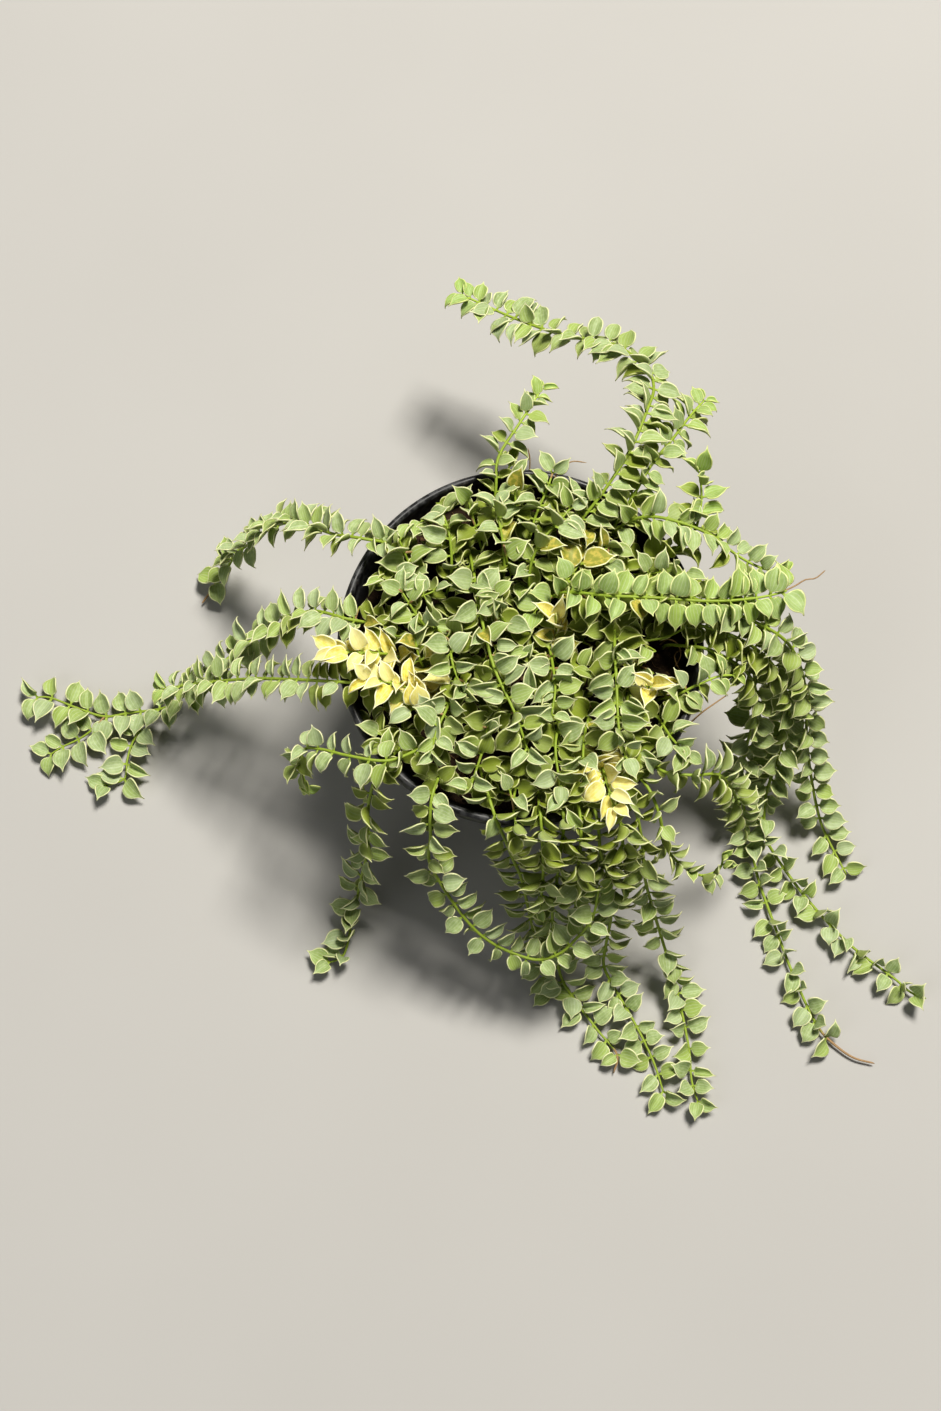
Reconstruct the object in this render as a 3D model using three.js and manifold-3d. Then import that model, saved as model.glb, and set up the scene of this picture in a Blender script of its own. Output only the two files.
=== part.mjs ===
// Potted variegated string of nickels: trailing stems with paired, coin-sized leaves in a nursery pot.
// Millimetres, +Z up. The origin is on the pot's axis, in the flat face that the pot stands on.
// Seen in plan, +Y is the back of the plant and +X its right-hand side.

import * as THREE from 'three';
import { mergeVertices } from 'three/addons/utils/BufferGeometryUtils.js';
import Module from 'manifold-3d';

const wasm = await Module();
wasm.setup();

// Driving dimensions of the pot
const POT_HEIGHT = 125;
const POT_RIM_RADIUS = 90;
const POT_BASE_RADIUS = 66;
const POT_WALL = 1.8;
const POT_FLOOR = 2.2;
const POT_SIDES = 36;
const LIP_WIDTH = 4;
const LIP_DEPTH = 10;
const EDGE_EASE = 1.5;
const DRAIN_COUNT = 8;
const DRAIN_RADIUS = 4;
const DRAIN_RING_RADIUS = 48;
const DRAIN_SIDES = 6;

// Driving dimensions of the soil
const SOIL_EDGE_HEIGHT = 105;
const SOIL_DOME = 4;
const SOIL_LUMP = 1.4;
const SOIL_RINGS = [0.74, 0.36];
const SEAT_GAP = 0.3;

// Driving dimensions of stems and leaves
const STEM_RADIUS = 0.9;
const STEM_SIDES = 3;
const STEM_STEP = 15;
const STEM_BURIED = 8;
const STEM_UPRIGHT = 6;
const HOLE_RADIUS = 2.1;
const HOLE_SIDES = 4;
const LEAF = { length: 13, width: 9.8, thick: 1.5, tipDrop: 0.8 };
const LEAF_CLEARANCE = 0.5;
const FLOOR_CLEARANCE = 0.5;
const TIP_INSET = 1;
const YOUNG_STRETCH = 40;
const YOUNG_SCALE = 0.72;
const TRAIL_LEAVES = { step: 26, bare: 28 };
const CROWN_LEAVES = { step: 20, bare: 24 };
const YELLOW_LEAVES = { step: 12, bare: 24 };
const BRANCH_BARE = 12;
const CROWN_FACE = 78;
const LYING_FACE = 88;
const ROLL_TRIES = [0, 0.35, -0.35, 0.7, -0.7, 1.05, -1.05];

// Colours of the real plant
const POT_COLOUR = 0x0b0b0c;
const SOIL_COLOUR = 0x3a2618;
const GREEN_COLOUR = 0x93a884;
const YELLOW_COLOUR = 0xe8d98a;

// Routes of the stems. The first pair of numbers is the foot in the soil, in plan; the points after it
// are where the stem passes, with their heights. `face` is how steeply the blades look up, in degrees.

const TRAILING_STEMS = [
  {
    name: 'trail_back_long',
    face: 75,
    route: [[14, 48], [24, 55, 128], [41, 74, 138], [54, 94, 142], [63, 116, 138], [67, 129, 133],
      [65, 141, 128], [49, 159, 118], [25, 169, 106], [-1, 183, 96], [-29, 199, 90]],
  },
  {
    name: 'trail_back_short_right',
    face: 70,
    route: [[44, 56], [49, 64, 124], [56, 74, 131], [65, 89, 133], [76, 104, 128], [87, 121, 118],
      [95, 132, 110]],
  },
  {
    name: 'trail_back_upright',
    face: 70,
    route: [[-16, 61], [-13, 68, 126], [-12, 78, 134], [-11, 91, 137], [-1, 108, 138], [5, 118, 136],
      [11, 129, 134]],
  },
  {
    name: 'trail_right_upright',
    face: 70,
    route: [[60, 40], [70, 44, 125], [79, 48, 129], [86, 56, 130], [89, 69, 135], [88, 82, 142]],
  },
  {
    name: 'trail_right_back',
    face: 75,
    route: [[41, 55], [53, 61, 128], [64, 61, 137], [78, 57, 140], [94, 51, 137], [106, 43, 132],
      [118, 37, 130], [129, 34, 131]],
  },
  {
    name: 'trail_right_level',
    face: 80,
    route: [[13, 22], [20, 22, 138], [43, 17, 150], [66, 16, 150], [91, 15, 148], [115, 18, 144],
      [133, 24, 140], [146, 32, 138]],
  },
  {
    name: 'trail_right_floor_inner',
    face: 40,
    route: [[72, 2], [79, -1, 124], [90, -4, 130], [101, -9, 129], [112, -14, 118], [118, -20, 102],
      [119, -30, 80], [118, -41, 58], [118, -55, 38], [122, -68, 22], [127, -85, 9], [130, -99, 5],
      [139, -127, 4], [150, -158, 4], [161, -181, 4], [168, -188, 3], [178, -195, 3], [189, -198, 3]],
  },
  {
    name: 'trail_right_floor_outer',
    face: 55,
    route: [[73, 14], [80, 11, 125], [92, 6, 131], [105, 1, 132], [120, -6, 122], [133, -16, 98],
      [138, -30, 68], [135, -46, 46], [132, -61, 28], [134, -79, 13], [140, -88, 6], [149, -101, 4],
      [158, -113, 4], [179, -136, 4], [202, -154, 4], [210, -161, 4], [218, -164, 3]],
  },
  {
    name: 'trail_far_right',
    face: 60,
    route: [[69, 28], [78, 25, 126], [91, 17, 136], [106, 10, 140], [127, 1, 132], [139, -8, 110],
      [146, -19, 84], [150, -33, 58], [155, -46, 36], [161, -63, 18], [166, -74, 8], [174, -90, 5],
      [178, -98, 5]],
  },
  {
    name: 'trail_front_right_arch',
    face: 35,
    route: [[52, -48], [60, -57, 124], [68, -65, 131], [82, -67, 132], [94, -65, 124], [103, -67, 105],
      [109, -72, 86], [116, -80, 60]],
  },
  {
    name: 'trail_front_right_curl',
    face: 45,
    route: [[48, -56], [55, -65, 126], [61, -74, 131], [66, -86, 128], [70, -97, 108], [80, -105, 92],
      [91, -109, 85], [100, -105, 84], [101, -98, 88]],
  },
  {
    name: 'trail_front_right_floor',
    face: 45,
    route: [[42, -62], [47, -69, 126], [53, -80, 131], [58, -95, 117], [62, -110, 86], [68, -121, 58],
      [74, -132, 34], [81, -148, 14], [85, -160, 6], [91, -191, 4], [92, -207, 4], [95, -218, 4]],
  },
  {
    name: 'trail_front_loop',
    face: 70,
    route: [[-36, -58], [-40, -67, 126], [-43, -77, 130], [-44, -86, 126], [-44, -94, 113],
      [-45, -103, 98], [-40, -112, 84], [-25, -131, 64], [-15, -139, 58], [-2, -145, 54], [10, -148, 54],
      [21, -145, 58], [29, -138, 64], [36, -130, 74], [39, -115, 94]],
  },
  {
    name: 'trail_front_left_inner',
    face: 20,
    route: [[-20, -60], [-18, -70, 126], [-15, -80, 130], [-12, -89, 129], [-8, -96, 119], [-4, -103, 103],
      [0, -109, 88], [5, -122, 54], [10, -138, 26], [15, -152, 9], [18, -160, 4]],
  },
  {
    name: 'trail_front_middle',
    face: 25,
    route: [[17, -68], [18, -78, 127], [20, -88, 131], [19, -100, 120], [18, -113, 92], [17, -126, 60],
      [20, -141, 30], [24, -155, 12], [31, -165, 5], [43, -181, 4], [53, -194, 4], [51, -203, 3]],
  },
  {
    name: 'trail_front_middle_right',
    face: 25,
    route: [[30, -68], [33, -77, 127], [36, -89, 131], [38, -101, 118], [45, -114, 86], [47, -126, 58],
      [46, -138, 32], [46, -148, 14], [51, -157, 6], [63, -178, 4], [72, -197, 4], [77, -213, 4]],
  },
  {
    name: 'trail_front_left_floor',
    face: 50,
    route: [[-55, -46], [-62, -56, 126], [-68, -63, 131], [-72, -71, 123], [-75, -80, 104],
      [-76, -88, 80], [-78, -96, 58], [-82, -105, 36], [-85, -114, 18], [-88, -124, 8], [-93, -142, 5],
      [-100, -145, 4]],
  },
  {
    name: 'trail_left_front',
    face: 65,
    route: [[-34, -46], [-47, -53, 130], [-64, -61, 138], [-84, -58, 136], [-96, -54, 130],
      [-105, -52, 121], [-109, -58, 106], [-106, -65, 92]],
  },
  {
    name: 'trail_left_middle',
    face: 70,
    route: [[-62, -20], [-74, -21, 127], [-86, -21, 131], [-100, -19, 126], [-117, -15, 112],
      [-134, -11, 96], [-162, -7, 70], [-189, -5, 46]],
  },
  {
    name: 'trail_left_long',
    face: 70,
    route: [[-66, 11], [-76, 10, 127], [-86, 11, 131], [-96, 15, 127], [-105, 18, 118], [-122, 16, 98],
      [-142, 13, 70], [-166, 3, 38], [-182, -5, 22], [-193, -8, 12], [-210, -9, 7], [-225, -11, 6],
      [-241, -6, 6], [-258, 0, 6], [-269, -2, 6]],
    branches: [
      [[-225, -11, 6], [-230, -17, 6], [-238, -23, 5], [-248, -28, 5], [-254, -32, 5]],
      [[-200, -9, 9], [-205, -18, 7], [-210, -27, 5], [-212, -36, 5], [-213, -45, 4], [-223, -49, 3]],
    ],
  },
  {
    name: 'trail_left_back',
    face: 65,
    route: [[-54, 46], [-64, 50, 127], [-76, 51, 132], [-84, 53, 130], [-92, 56, 124], [-103, 64, 110],
      [-115, 72, 94], [-128, 75, 76], [-140, 74, 56], [-152, 72, 36], [-159, 68, 20], [-166, 64, 9],
      [-171, 58, 4], [-174, 54, 3]],
  },
  {
    name: 'trail_right_short',
    face: 70,
    route: [[67, -26], [76, -26, 126], [86, -22, 131], [96, -18, 131], [103, -17, 129]],
  },
  {
    name: 'trail_front_short_left',
    face: 25,
    route: [[8, -66], [8, -77, 127], [9, -89, 132], [10, -101, 121], [11, -113, 98], [10, -124, 72]],
  },
  {
    name: 'trail_front_short_middle',
    face: 25,
    route: [[24, -66], [26, -76, 127], [28, -90, 132], [28, -103, 120], [28, -114, 94], [28, -123, 70]],
  },
  {
    name: 'trail_front_short_right',
    face: 25,
    route: [[36, -58], [41, -70, 127], [45, -82, 132], [48, -94, 127], [49, -104, 104], [50, -113, 80]],
  },
];

const CROWN_ROUTES = [
  [[-26, 55], [-22, 27, 135], [-18, 2, 142], [-13, -18, 145], [-3, -41, 146], [4, -61, 140]],
  [[0, 45], [4, 51, 128], [8, 64, 134], [13, 75, 136], [16, 84, 136]],
  [[-32, 47], [-40, 54, 128], [-47, 63, 134], [-53, 71, 134]],
  [[-50, 26], [-57, 26, 128], [-62, 33, 132], [-70, 39, 130]],
  [[-40, 6], [-47, 8, 128], [-54, 17, 134], [-58, 23, 136]],
  [[0, 6], [-6, 8, 128], [-12, 13, 138], [-13, 19, 144]],
  [[46, 16], [46, 8, 126], [45, -2, 138], [45, -22, 145], [46, -49, 146], [49, -60, 142]],
  [[25, -25], [19, -39, 130], [16, -53, 138], [17, -66, 138], [20, -77, 136]],
  [[35, -2], [45, -2, 126], [58, -1, 132], [71, 1, 134], [79, 5, 134]],
  [[-25, -4], [-32, -19, 128], [-35, -33, 137], [-41, -48, 141], [-43, -57, 140]],
  [[-10, -25], [-15, -39, 130], [-18, -53, 136], [-25, -74, 132]],
  [[13, 6], [15, -10, 130], [16, -27, 140], [14, -40, 142]],
  [[36, -28], [31, -44, 130], [29, -58, 140], [29, -72, 140]],
  [[-45, -13], [-49, -10, 128], [-52, 1, 134]],
  [[67, -34], [68, -40, 126], [72, -49, 133], [78, -57, 137]],
  [[23, 44], [35, 46, 126], [44, 47, 130]],
  [[52, 38], [60, 34, 128], [70, 33, 136], [80, 32, 137]],
  [[-37, 26], [-34, 36, 128], [-35, 52, 136], [-40, 69, 134]],
  [[-17, 45], [-21, 54, 128], [-25, 67, 136], [-28, 81, 132]],
  [[0, 60], [-2, 67, 128], [-3, 78, 133], [-6, 88, 131]],
  [[-50, 33], [-55, 40, 128], [-60, 50, 138], [-65, 60, 138]],
  [[8, 21], [4, 31, 128], [8, 45, 138], [19, 58, 140], [28, 69, 138]],
  [[-10, 26], [-8, 36, 128], [-9, 49, 137], [-12, 65, 139]],
  [[60, -7], [52, -25, 130], [51, -41, 137], [56, -56, 134]],
  [[2, -58], [-3, -72, 128], [-4, -84, 134], [-2, -95, 128]],
  [[-22, 21], [-31, 6, 128], [-34, -9, 138], [-29, -27, 142]],
  [[20, -40], [13, -32, 126], [4, -26, 132], [-7, -27, 134]],
];

const YELLOW_ROUTES = [
  [[-45, -20], [-52, -24, 128], [-61, -23, 136], [-72, -22, 141], [-82, -22, 142]],
  [[-57, -7], [-64, -7, 130], [-75, -8, 138], [-87, -8, 141], [-97, -9, 140]],
  [[60, -20], [61, -22, 124], [62, -23, 135]],
  [[38, -46], [38, -58, 128], [40, -71, 139], [43, -82, 142], [44, -90, 138]],
  [[20, 1], [18, 5, 122], [17, 11, 130]],
];

const UP = new THREE.Vector3(0, 0, 1);

// A number from 0 to 1 that depends only on its two whole-number keys, for natural unevenness
function unevenness(key, salt) {
  const wave = Math.sin(key * 12.9898 + salt * 78.233) * 43758.5453;
  return wave - Math.floor(wave);
}

// The volume that a triangle mesh encloses, negative where its faces point inwards
function enclosedVolume(positions, triangles) {
  let volume = 0;
  const a = new THREE.Vector3();
  const b = new THREE.Vector3();
  const c = new THREE.Vector3();
  for (let i = 0; i < triangles.length; i += 3) {
    a.fromArray(positions, triangles[i] * 3);
    b.fromArray(positions, triangles[i + 1] * 3);
    c.fromArray(positions, triangles[i + 2] * 3);
    volume += a.dot(b.cross(c)) / 6;
  }
  return volume;
}

// A solid from a closed geometry: corners shared, folded triangles gone, faces pointing out
function solidOf(geometry) {
  const bare = geometry.clone();
  bare.deleteAttribute('normal');
  bare.deleteAttribute('uv');
  const shared = mergeVertices(bare, 1e-4);
  const positions = shared.attributes.position.array;
  const index = shared.index.array;
  const triangles = [];
  for (let i = 0; i < index.length; i += 3) {
    const corners = [index[i], index[i + 1], index[i + 2]];
    if (new Set(corners).size === 3) triangles.push(...corners);
  }
  if (enclosedVolume(positions, triangles) < 0) triangles.reverse();
  return new wasm.Manifold(new wasm.Mesh({
    numProp: 3,
    vertProperties: new Float32Array(positions),
    triVerts: new Uint32Array(triangles),
  }));
}

function geometryOf(solid) {
  const mesh = solid.getMesh();
  const geometry = new THREE.BufferGeometry();
  geometry.setAttribute('position', new THREE.BufferAttribute(mesh.vertProperties, 3));
  geometry.setIndex(new THREE.BufferAttribute(mesh.triVerts, 1));
  geometry.computeVertexNormals();
  return geometry;
}

function touches(first, second) {
  return first.intersect(second).getMesh().triVerts.length > 0;
}

function uprightCylinder(radius, bottom, top, sides, x, y) {
  const geometry = new THREE.CylinderGeometry(radius, radius, top - bottom, sides);
  geometry.rotateX(Math.PI / 2);
  geometry.translate(x, y, (top + bottom) / 2);
  return solidOf(geometry);
}

function turned(profile) {
  const geometry = new THREE.LatheGeometry(profile.map(([r, z]) => new THREE.Vector2(r, z)), POT_SIDES);
  geometry.rotateX(Math.PI / 2);
  return geometry;
}

// The pot's outer wall radius at a height, below the lip
function wallRadius(z) {
  const top = POT_RIM_RADIUS - LIP_WIDTH;
  return POT_BASE_RADIUS + (top - POT_BASE_RADIUS) * z / (POT_HEIGHT - LIP_DEPTH);
}

// A thin tapered cup with a thick rolled lip, eased edges, a flat foot and drain holes in its floor
function potSolid() {
  const lipInner = POT_RIM_RADIUS - LIP_WIDTH;
  const underLip = POT_HEIGHT - LIP_DEPTH;
  const profile = [
    [0, 0],
    [POT_BASE_RADIUS - EDGE_EASE, 0],
    [wallRadius(EDGE_EASE), EDGE_EASE],
    [wallRadius(underLip), underLip],
    [POT_RIM_RADIUS - EDGE_EASE / 2, underLip],
    [POT_RIM_RADIUS, underLip + EDGE_EASE],
    [POT_RIM_RADIUS, POT_HEIGHT - EDGE_EASE],
    [POT_RIM_RADIUS - EDGE_EASE, POT_HEIGHT],
    [lipInner + EDGE_EASE, POT_HEIGHT],
    [lipInner, POT_HEIGHT - EDGE_EASE],
    [wallRadius(underLip) - POT_WALL, underLip],
    [wallRadius(POT_FLOOR) - POT_WALL, POT_FLOOR],
    [0, POT_FLOOR],
  ];
  let pot = solidOf(turned(profile));
  for (let i = 0; i < DRAIN_COUNT; i++) {
    const turn = (i + 0.5) * 2 * Math.PI / DRAIN_COUNT;
    const x = DRAIN_RING_RADIUS * Math.cos(turn);
    const y = DRAIN_RING_RADIUS * Math.sin(turn);
    pot = pot.subtract(uprightCylinder(DRAIN_RADIUS, -1, POT_FLOOR + 1, DRAIN_SIDES, x, y));
  }
  return pot;
}

// How high the soil stands at a place in plan: a low dome with soft lumps that fade at the wall
function soilHeight(x, y) {
  const edge = wallRadius(SOIL_EDGE_HEIGHT) - POT_WALL;
  const inward = 1 - Math.min(1, Math.hypot(x, y) / edge);
  const lumps = Math.sin(x * 0.21 + 1) * Math.cos(y * 0.17) + Math.sin(x * 0.09 - y * 0.13);
  return SOIL_EDGE_HEIGHT + SOIL_DOME * Math.sqrt(inward) + SOIL_LUMP * lumps * Math.min(1, inward * 3);
}

// Potting mix that fills the pot up to about 20 mm below its lip, with a plain hole for each stem
function soilSolid(feet) {
  const bottom = POT_FLOOR + SEAT_GAP;
  const inner = (z) => wallRadius(z) - POT_WALL - SEAT_GAP;
  const edge = inner(SOIL_EDGE_HEIGHT);
  const profile = [[0, bottom], [inner(bottom), bottom], [edge, SOIL_EDGE_HEIGHT]];
  for (const fraction of SOIL_RINGS) profile.push([edge * fraction, SOIL_EDGE_HEIGHT + 1]);
  profile.push([0, SOIL_EDGE_HEIGHT + 1]);
  const geometry = turned(profile);
  const position = geometry.attributes.position;
  for (let i = 0; i < position.count; i++) {
    if (position.getZ(i) <= SOIL_EDGE_HEIGHT + 0.5) continue;
    position.setZ(i, soilHeight(position.getX(i), position.getY(i)));
  }
  let soil = solidOf(geometry);
  for (const [x, y] of feet) {
    const surface = soilHeight(x, y);
    const hole = [surface - STEM_BURIED - SEAT_GAP, surface + 8, HOLE_SIDES, x, y];
    soil = soil.subtract(uprightCylinder(HOLE_RADIUS, ...hole));
  }
  return soil;
}

// The smooth curve of a stem: upright in its hole and a little above it, then through its points
function stemCurve(route) {
  const [foot, ...rest] = route;
  const points = [];
  if (foot.length === 2) {
    const [x, y] = foot;
    const surface = soilHeight(x, y);
    points.push([x, y, surface - STEM_BURIED], [x, y, surface + STEM_UPRIGHT]);
  } else {
    points.push(foot);
  }
  points.push(...rest);
  return new THREE.CatmullRomCurve3(points.map((p) => new THREE.Vector3(...p)), false, 'centripetal');
}

// How many straight stretches a faceted stem has
function stemSteps(curve) {
  return Math.max(3, Math.round(curve.getLength() / STEM_STEP));
}

// The straight stretches that the faceted stem is made of, which is where its leaves are rooted
function stemStretches(curve) {
  const points = curve.getSpacedPoints(stemSteps(curve));
  const stretches = new THREE.CurvePath();
  for (let i = 1; i < points.length; i++) {
    stretches.add(new THREE.LineCurve3(points[i - 1], points[i]));
  }
  return stretches;
}

// A slim bar with a few sides that follows the curve
function stemSolid(curve) {
  const section = new THREE.Shape();
  for (let i = 0; i < STEM_SIDES; i++) {
    const turn = i * 2 * Math.PI / STEM_SIDES;
    const x = STEM_RADIUS * Math.cos(turn);
    const y = STEM_RADIUS * Math.sin(turn);
    if (i === 0) section.moveTo(x, y);
    else section.lineTo(x, y);
  }
  section.closePath();
  const options = { steps: stemSteps(curve), bevelEnabled: false, extrudePath: curve };
  return solidOf(new THREE.ExtrudeGeometry(section, options));
}

// A broad, pointed leaf along +X from its root: domed above, flat below, its tip bent a little down.
// `grow` makes the same leaf larger on every side, and full below too, to test for clearance.
function leafGeometry(scale, grow) {
  const from = -grow;
  const to = LEAF.length * scale + grow;
  const half = LEAF.width * scale / 2 + grow;
  const reach = (fraction) => from + (to - from) * fraction;
  const corners = [
    [from, 0, 0],
    [reach(0.34), half, 0],
    [reach(0.7), half * 0.66, 0],
    [to, 0, -LEAF.tipDrop * scale],
    [reach(0.7), -half * 0.66, 0],
    [reach(0.34), -half, 0],
    [reach(0.46), 0, LEAF.thick * scale + grow],
    [reach(0.46), 0, -2 * grow],
  ];
  const above = [0, 1, 6, 1, 2, 6, 2, 3, 6, 3, 4, 6, 4, 5, 6, 5, 0, 6];
  const flat = [0, 5, 1, 1, 5, 4, 1, 4, 2, 2, 4, 3];
  const full = [1, 0, 7, 2, 1, 7, 3, 2, 7, 4, 3, 7, 5, 4, 7, 0, 5, 7];
  const geometry = new THREE.BufferGeometry();
  geometry.setAttribute('position', new THREE.Float32BufferAttribute(corners.flat(), 3));
  geometry.setIndex([...above, ...(grow > 0 ? full : flat)]);
  return geometry;
}

// Where a blade looks: up and outwards, and straight up where the stem lies on the floor
function lightDirection(point, face) {
  const outward = new THREE.Vector3(point.x, point.y, 0).normalize();
  const lying = THREE.MathUtils.clamp(1 - (point.z - 6) / 30, 0, 1);
  const tilt = THREE.MathUtils.degToRad(THREE.MathUtils.lerp(face, LYING_FACE, lying));
  return outward.multiplyScalar(Math.cos(tilt)).addScaledVector(UP, Math.sin(tilt));
}

// The placement of one leaf: it leaves the stem sideways and a little forward, and its blade is turned
// to the light. `roll` turns it about the stem and `lean` moves its tip forward.
function leafMatrix(point, tangent, face, side, roll, lean, pitch) {
  const light = lightDirection(point, face);
  const sideways = new THREE.Vector3().crossVectors(tangent, light).normalize();
  sideways.applyAxisAngle(tangent, roll).multiplyScalar(side);
  const along = sideways.multiplyScalar(Math.cos(lean)).addScaledVector(tangent, Math.sin(lean));
  along.normalize();
  const normal = light.addScaledVector(along, -light.dot(along)).normalize();
  normal.applyAxisAngle(along, pitch);
  const across = new THREE.Vector3().crossVectors(normal, along);
  return new THREE.Matrix4().makeBasis(along, across, normal).setPosition(point);
}

// Solids that are already in place, each with its box and its owner's name
const placed = [];

function place(owner, solid) {
  const box = new THREE.Box3().setFromArray(solid.getMesh().vertProperties);
  placed.push({ owner, solid, box });
}

// Whether a new leaf keeps off the floor and off everything that isn't its own stem's
function isClear(owner, geometry) {
  geometry.computeBoundingBox();
  const box = geometry.boundingBox;
  if (box.min.z < FLOOR_CLEARANCE) return false;
  const near = placed.filter((other) => other.owner !== owner && other.box.intersectsBox(box));
  if (near.length === 0) return true;
  const solid = solidOf(geometry);
  return !near.some((other) => touches(solid, other.solid));
}

// The leaf pairs of one stem, from its tip back to its bare foot. A leaf whose place is taken is turned
// about the stem, and it is left out where no turn frees it.
function leafSolids(stem, curve, key, bare) {
  const stretches = stemStretches(curve);
  const length = stretches.getLength();
  const leafy = length - TIP_INSET - bare;
  const gaps = Math.max(1, Math.round(leafy / stem.leaves.step));
  const leaves = [];
  for (let i = 0; i <= gaps; i++) {
    const fromTip = TIP_INSET + leafy * i / gaps;
    const point = stretches.getPoint(1 - fromTip / length);
    const tangent = stretches.getTangent(1 - fromTip / length);
    const grown = THREE.MathUtils.clamp(fromTip / YOUNG_STRETCH, 0, 1);
    for (const side of [1, -1]) {
      const salt = key * 100 + i * 2 + (side > 0 ? 0 : 1);
      const scale = THREE.MathUtils.lerp(YOUNG_SCALE, 1, grown) * (0.9 + 0.2 * unevenness(salt, 1));
      const roll = 0.5 * (unevenness(salt, 2) - 0.5);
      const lean = THREE.MathUtils.lerp(0.75, 0.28, grown) + 0.2 * (unevenness(salt, 3) - 0.5);
      const pitch = 0.5 * (unevenness(salt, 4) - 0.5);
      for (const extra of ROLL_TRIES) {
        const matrix = leafMatrix(point, tangent, stem.face, side, roll + extra, lean, pitch);
        if (!isClear(stem.name, leafGeometry(scale, LEAF_CLEARANCE).applyMatrix4(matrix))) continue;
        const leaf = solidOf(leafGeometry(scale, 0).applyMatrix4(matrix));
        place(stem.name, leaf);
        leaves.push(leaf);
        break;
      }
    }
  }
  return leaves;
}

function material(colour, roughness) {
  return new THREE.MeshStandardMaterial({ color: colour, roughness, metalness: 0 });
}

function pieceMesh(name, solid, colour, roughness) {
  const mesh = new THREE.Mesh(geometryOf(solid), material(colour, roughness));
  mesh.name = name;
  return mesh;
}

function numbered(prefix, index) {
  return `${prefix}_${String(index + 1).padStart(2, '0')}`;
}

// Every stem of the plant, with its leaf spacing and its colour
const trailing = { leaves: TRAIL_LEAVES, colour: GREEN_COLOUR };
const crown = { face: CROWN_FACE, leaves: CROWN_LEAVES, colour: GREEN_COLOUR };
const yellow = { face: CROWN_FACE, leaves: YELLOW_LEAVES, colour: YELLOW_COLOUR };
const stems = [
  ...TRAILING_STEMS.map((stem) => ({ ...trailing, ...stem })),
  ...CROWN_ROUTES.map((route, i) => ({ ...crown, name: numbered('crown_stem', i), route })),
  ...YELLOW_ROUTES.map((route, i) => ({ ...yellow, name: numbered('yellow_spray', i), route })),
];

const potted = new THREE.Group();
const pot = potSolid();
const soil = soilSolid(stems.map((stem) => stem.route[0]));
place('pot', pot);
place('soil', soil);
potted.add(pieceMesh('pot', pot, POT_COLOUR, 0.3));
potted.add(pieceMesh('soil', soil, SOIL_COLOUR, 0.95));

// All bare stems take their places first, and the leaves are then fitted among them
for (const stem of stems) {
  stem.curves = [stem.route, ...(stem.branches ?? [])].map(stemCurve);
  const [first, ...others] = stem.curves.map(stemSolid);
  stem.solid = others.reduce((whole, branch) => whole.add(branch), first);
  place(stem.name, stem.solid);
}
stems.forEach((stem, key) => {
  let whole = stem.solid;
  stem.curves.forEach((curve, branch) => {
    const bare = branch === 0 ? stem.leaves.bare : BRANCH_BARE;
    const leaves = leafSolids(stem, curve, key * 3 + branch, bare);
    for (const leaf of leaves) whole = whole.add(leaf);
  });
  potted.add(pieceMesh(stem.name, whole, stem.colour, 0.5));
});

export default potted;
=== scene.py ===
# %% [markdown]
# # Potted variegated string of nickels
# A trailing houseplant in a black nursery pot, seen almost from above. Its stems carry pairs of small,
# fleshy leaves, pale sage green with a thin cream rim, that close over the pot like a carpet and then
# hang over the lip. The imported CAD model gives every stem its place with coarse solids. Here each of
# those solids is replaced by a finer piece on the same route, so the plant keeps its form and gains its
# detail.

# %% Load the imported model
import math

import bmesh
import bpy
import numpy as np
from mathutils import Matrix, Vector, noise


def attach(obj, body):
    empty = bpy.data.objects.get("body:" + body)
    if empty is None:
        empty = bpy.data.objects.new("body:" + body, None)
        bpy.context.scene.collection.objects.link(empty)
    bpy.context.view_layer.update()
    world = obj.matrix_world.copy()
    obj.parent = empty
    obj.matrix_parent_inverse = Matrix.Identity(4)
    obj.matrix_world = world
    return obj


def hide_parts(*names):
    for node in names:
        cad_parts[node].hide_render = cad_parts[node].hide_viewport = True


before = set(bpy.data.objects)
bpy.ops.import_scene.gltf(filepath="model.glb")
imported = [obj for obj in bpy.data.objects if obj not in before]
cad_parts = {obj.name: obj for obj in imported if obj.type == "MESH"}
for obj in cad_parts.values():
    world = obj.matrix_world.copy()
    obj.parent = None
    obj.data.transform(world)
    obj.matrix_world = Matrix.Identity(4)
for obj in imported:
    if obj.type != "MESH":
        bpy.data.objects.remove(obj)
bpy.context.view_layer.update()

# %% [markdown]
# ## One unit for the whole lesson
# The model is in metres, but leaves are easier to think of in millimetres. Every size below is in
# millimetres and is turned into metres once, when a mesh is written.

# %% Millimetres
MM = 0.001
print("one millimetre is", MM, "metres")

# %% [markdown]
# ## Directions
# Much of what follows needs to know which way something points and not how far. A vector of length one
# does that. The same line of numpy works for one vector and for a row of thousands.


# %% Directions
def unit(vector):
    """The same direction with length one, for one vector or a row of them."""
    length = np.linalg.norm(vector, axis=-1, keepdims=True)
    return vector / np.maximum(length, 1e-9)


print("a slope of 3 in 4 points along", unit(np.array([4.0, 3.0])))

# %% [markdown]
# ## The camera
# The photograph was taken from nearly overhead, 12.5 degrees off the plumb line, from about one metre. A
# 50 mm lens from there shows the plant in the middle of a tall frame, as the photograph does. The place
# could be guessed by eye, but the pot helps: its rim is a circle, and the ellipse that it makes in the
# photograph gives both the tilt and the distance.

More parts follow.
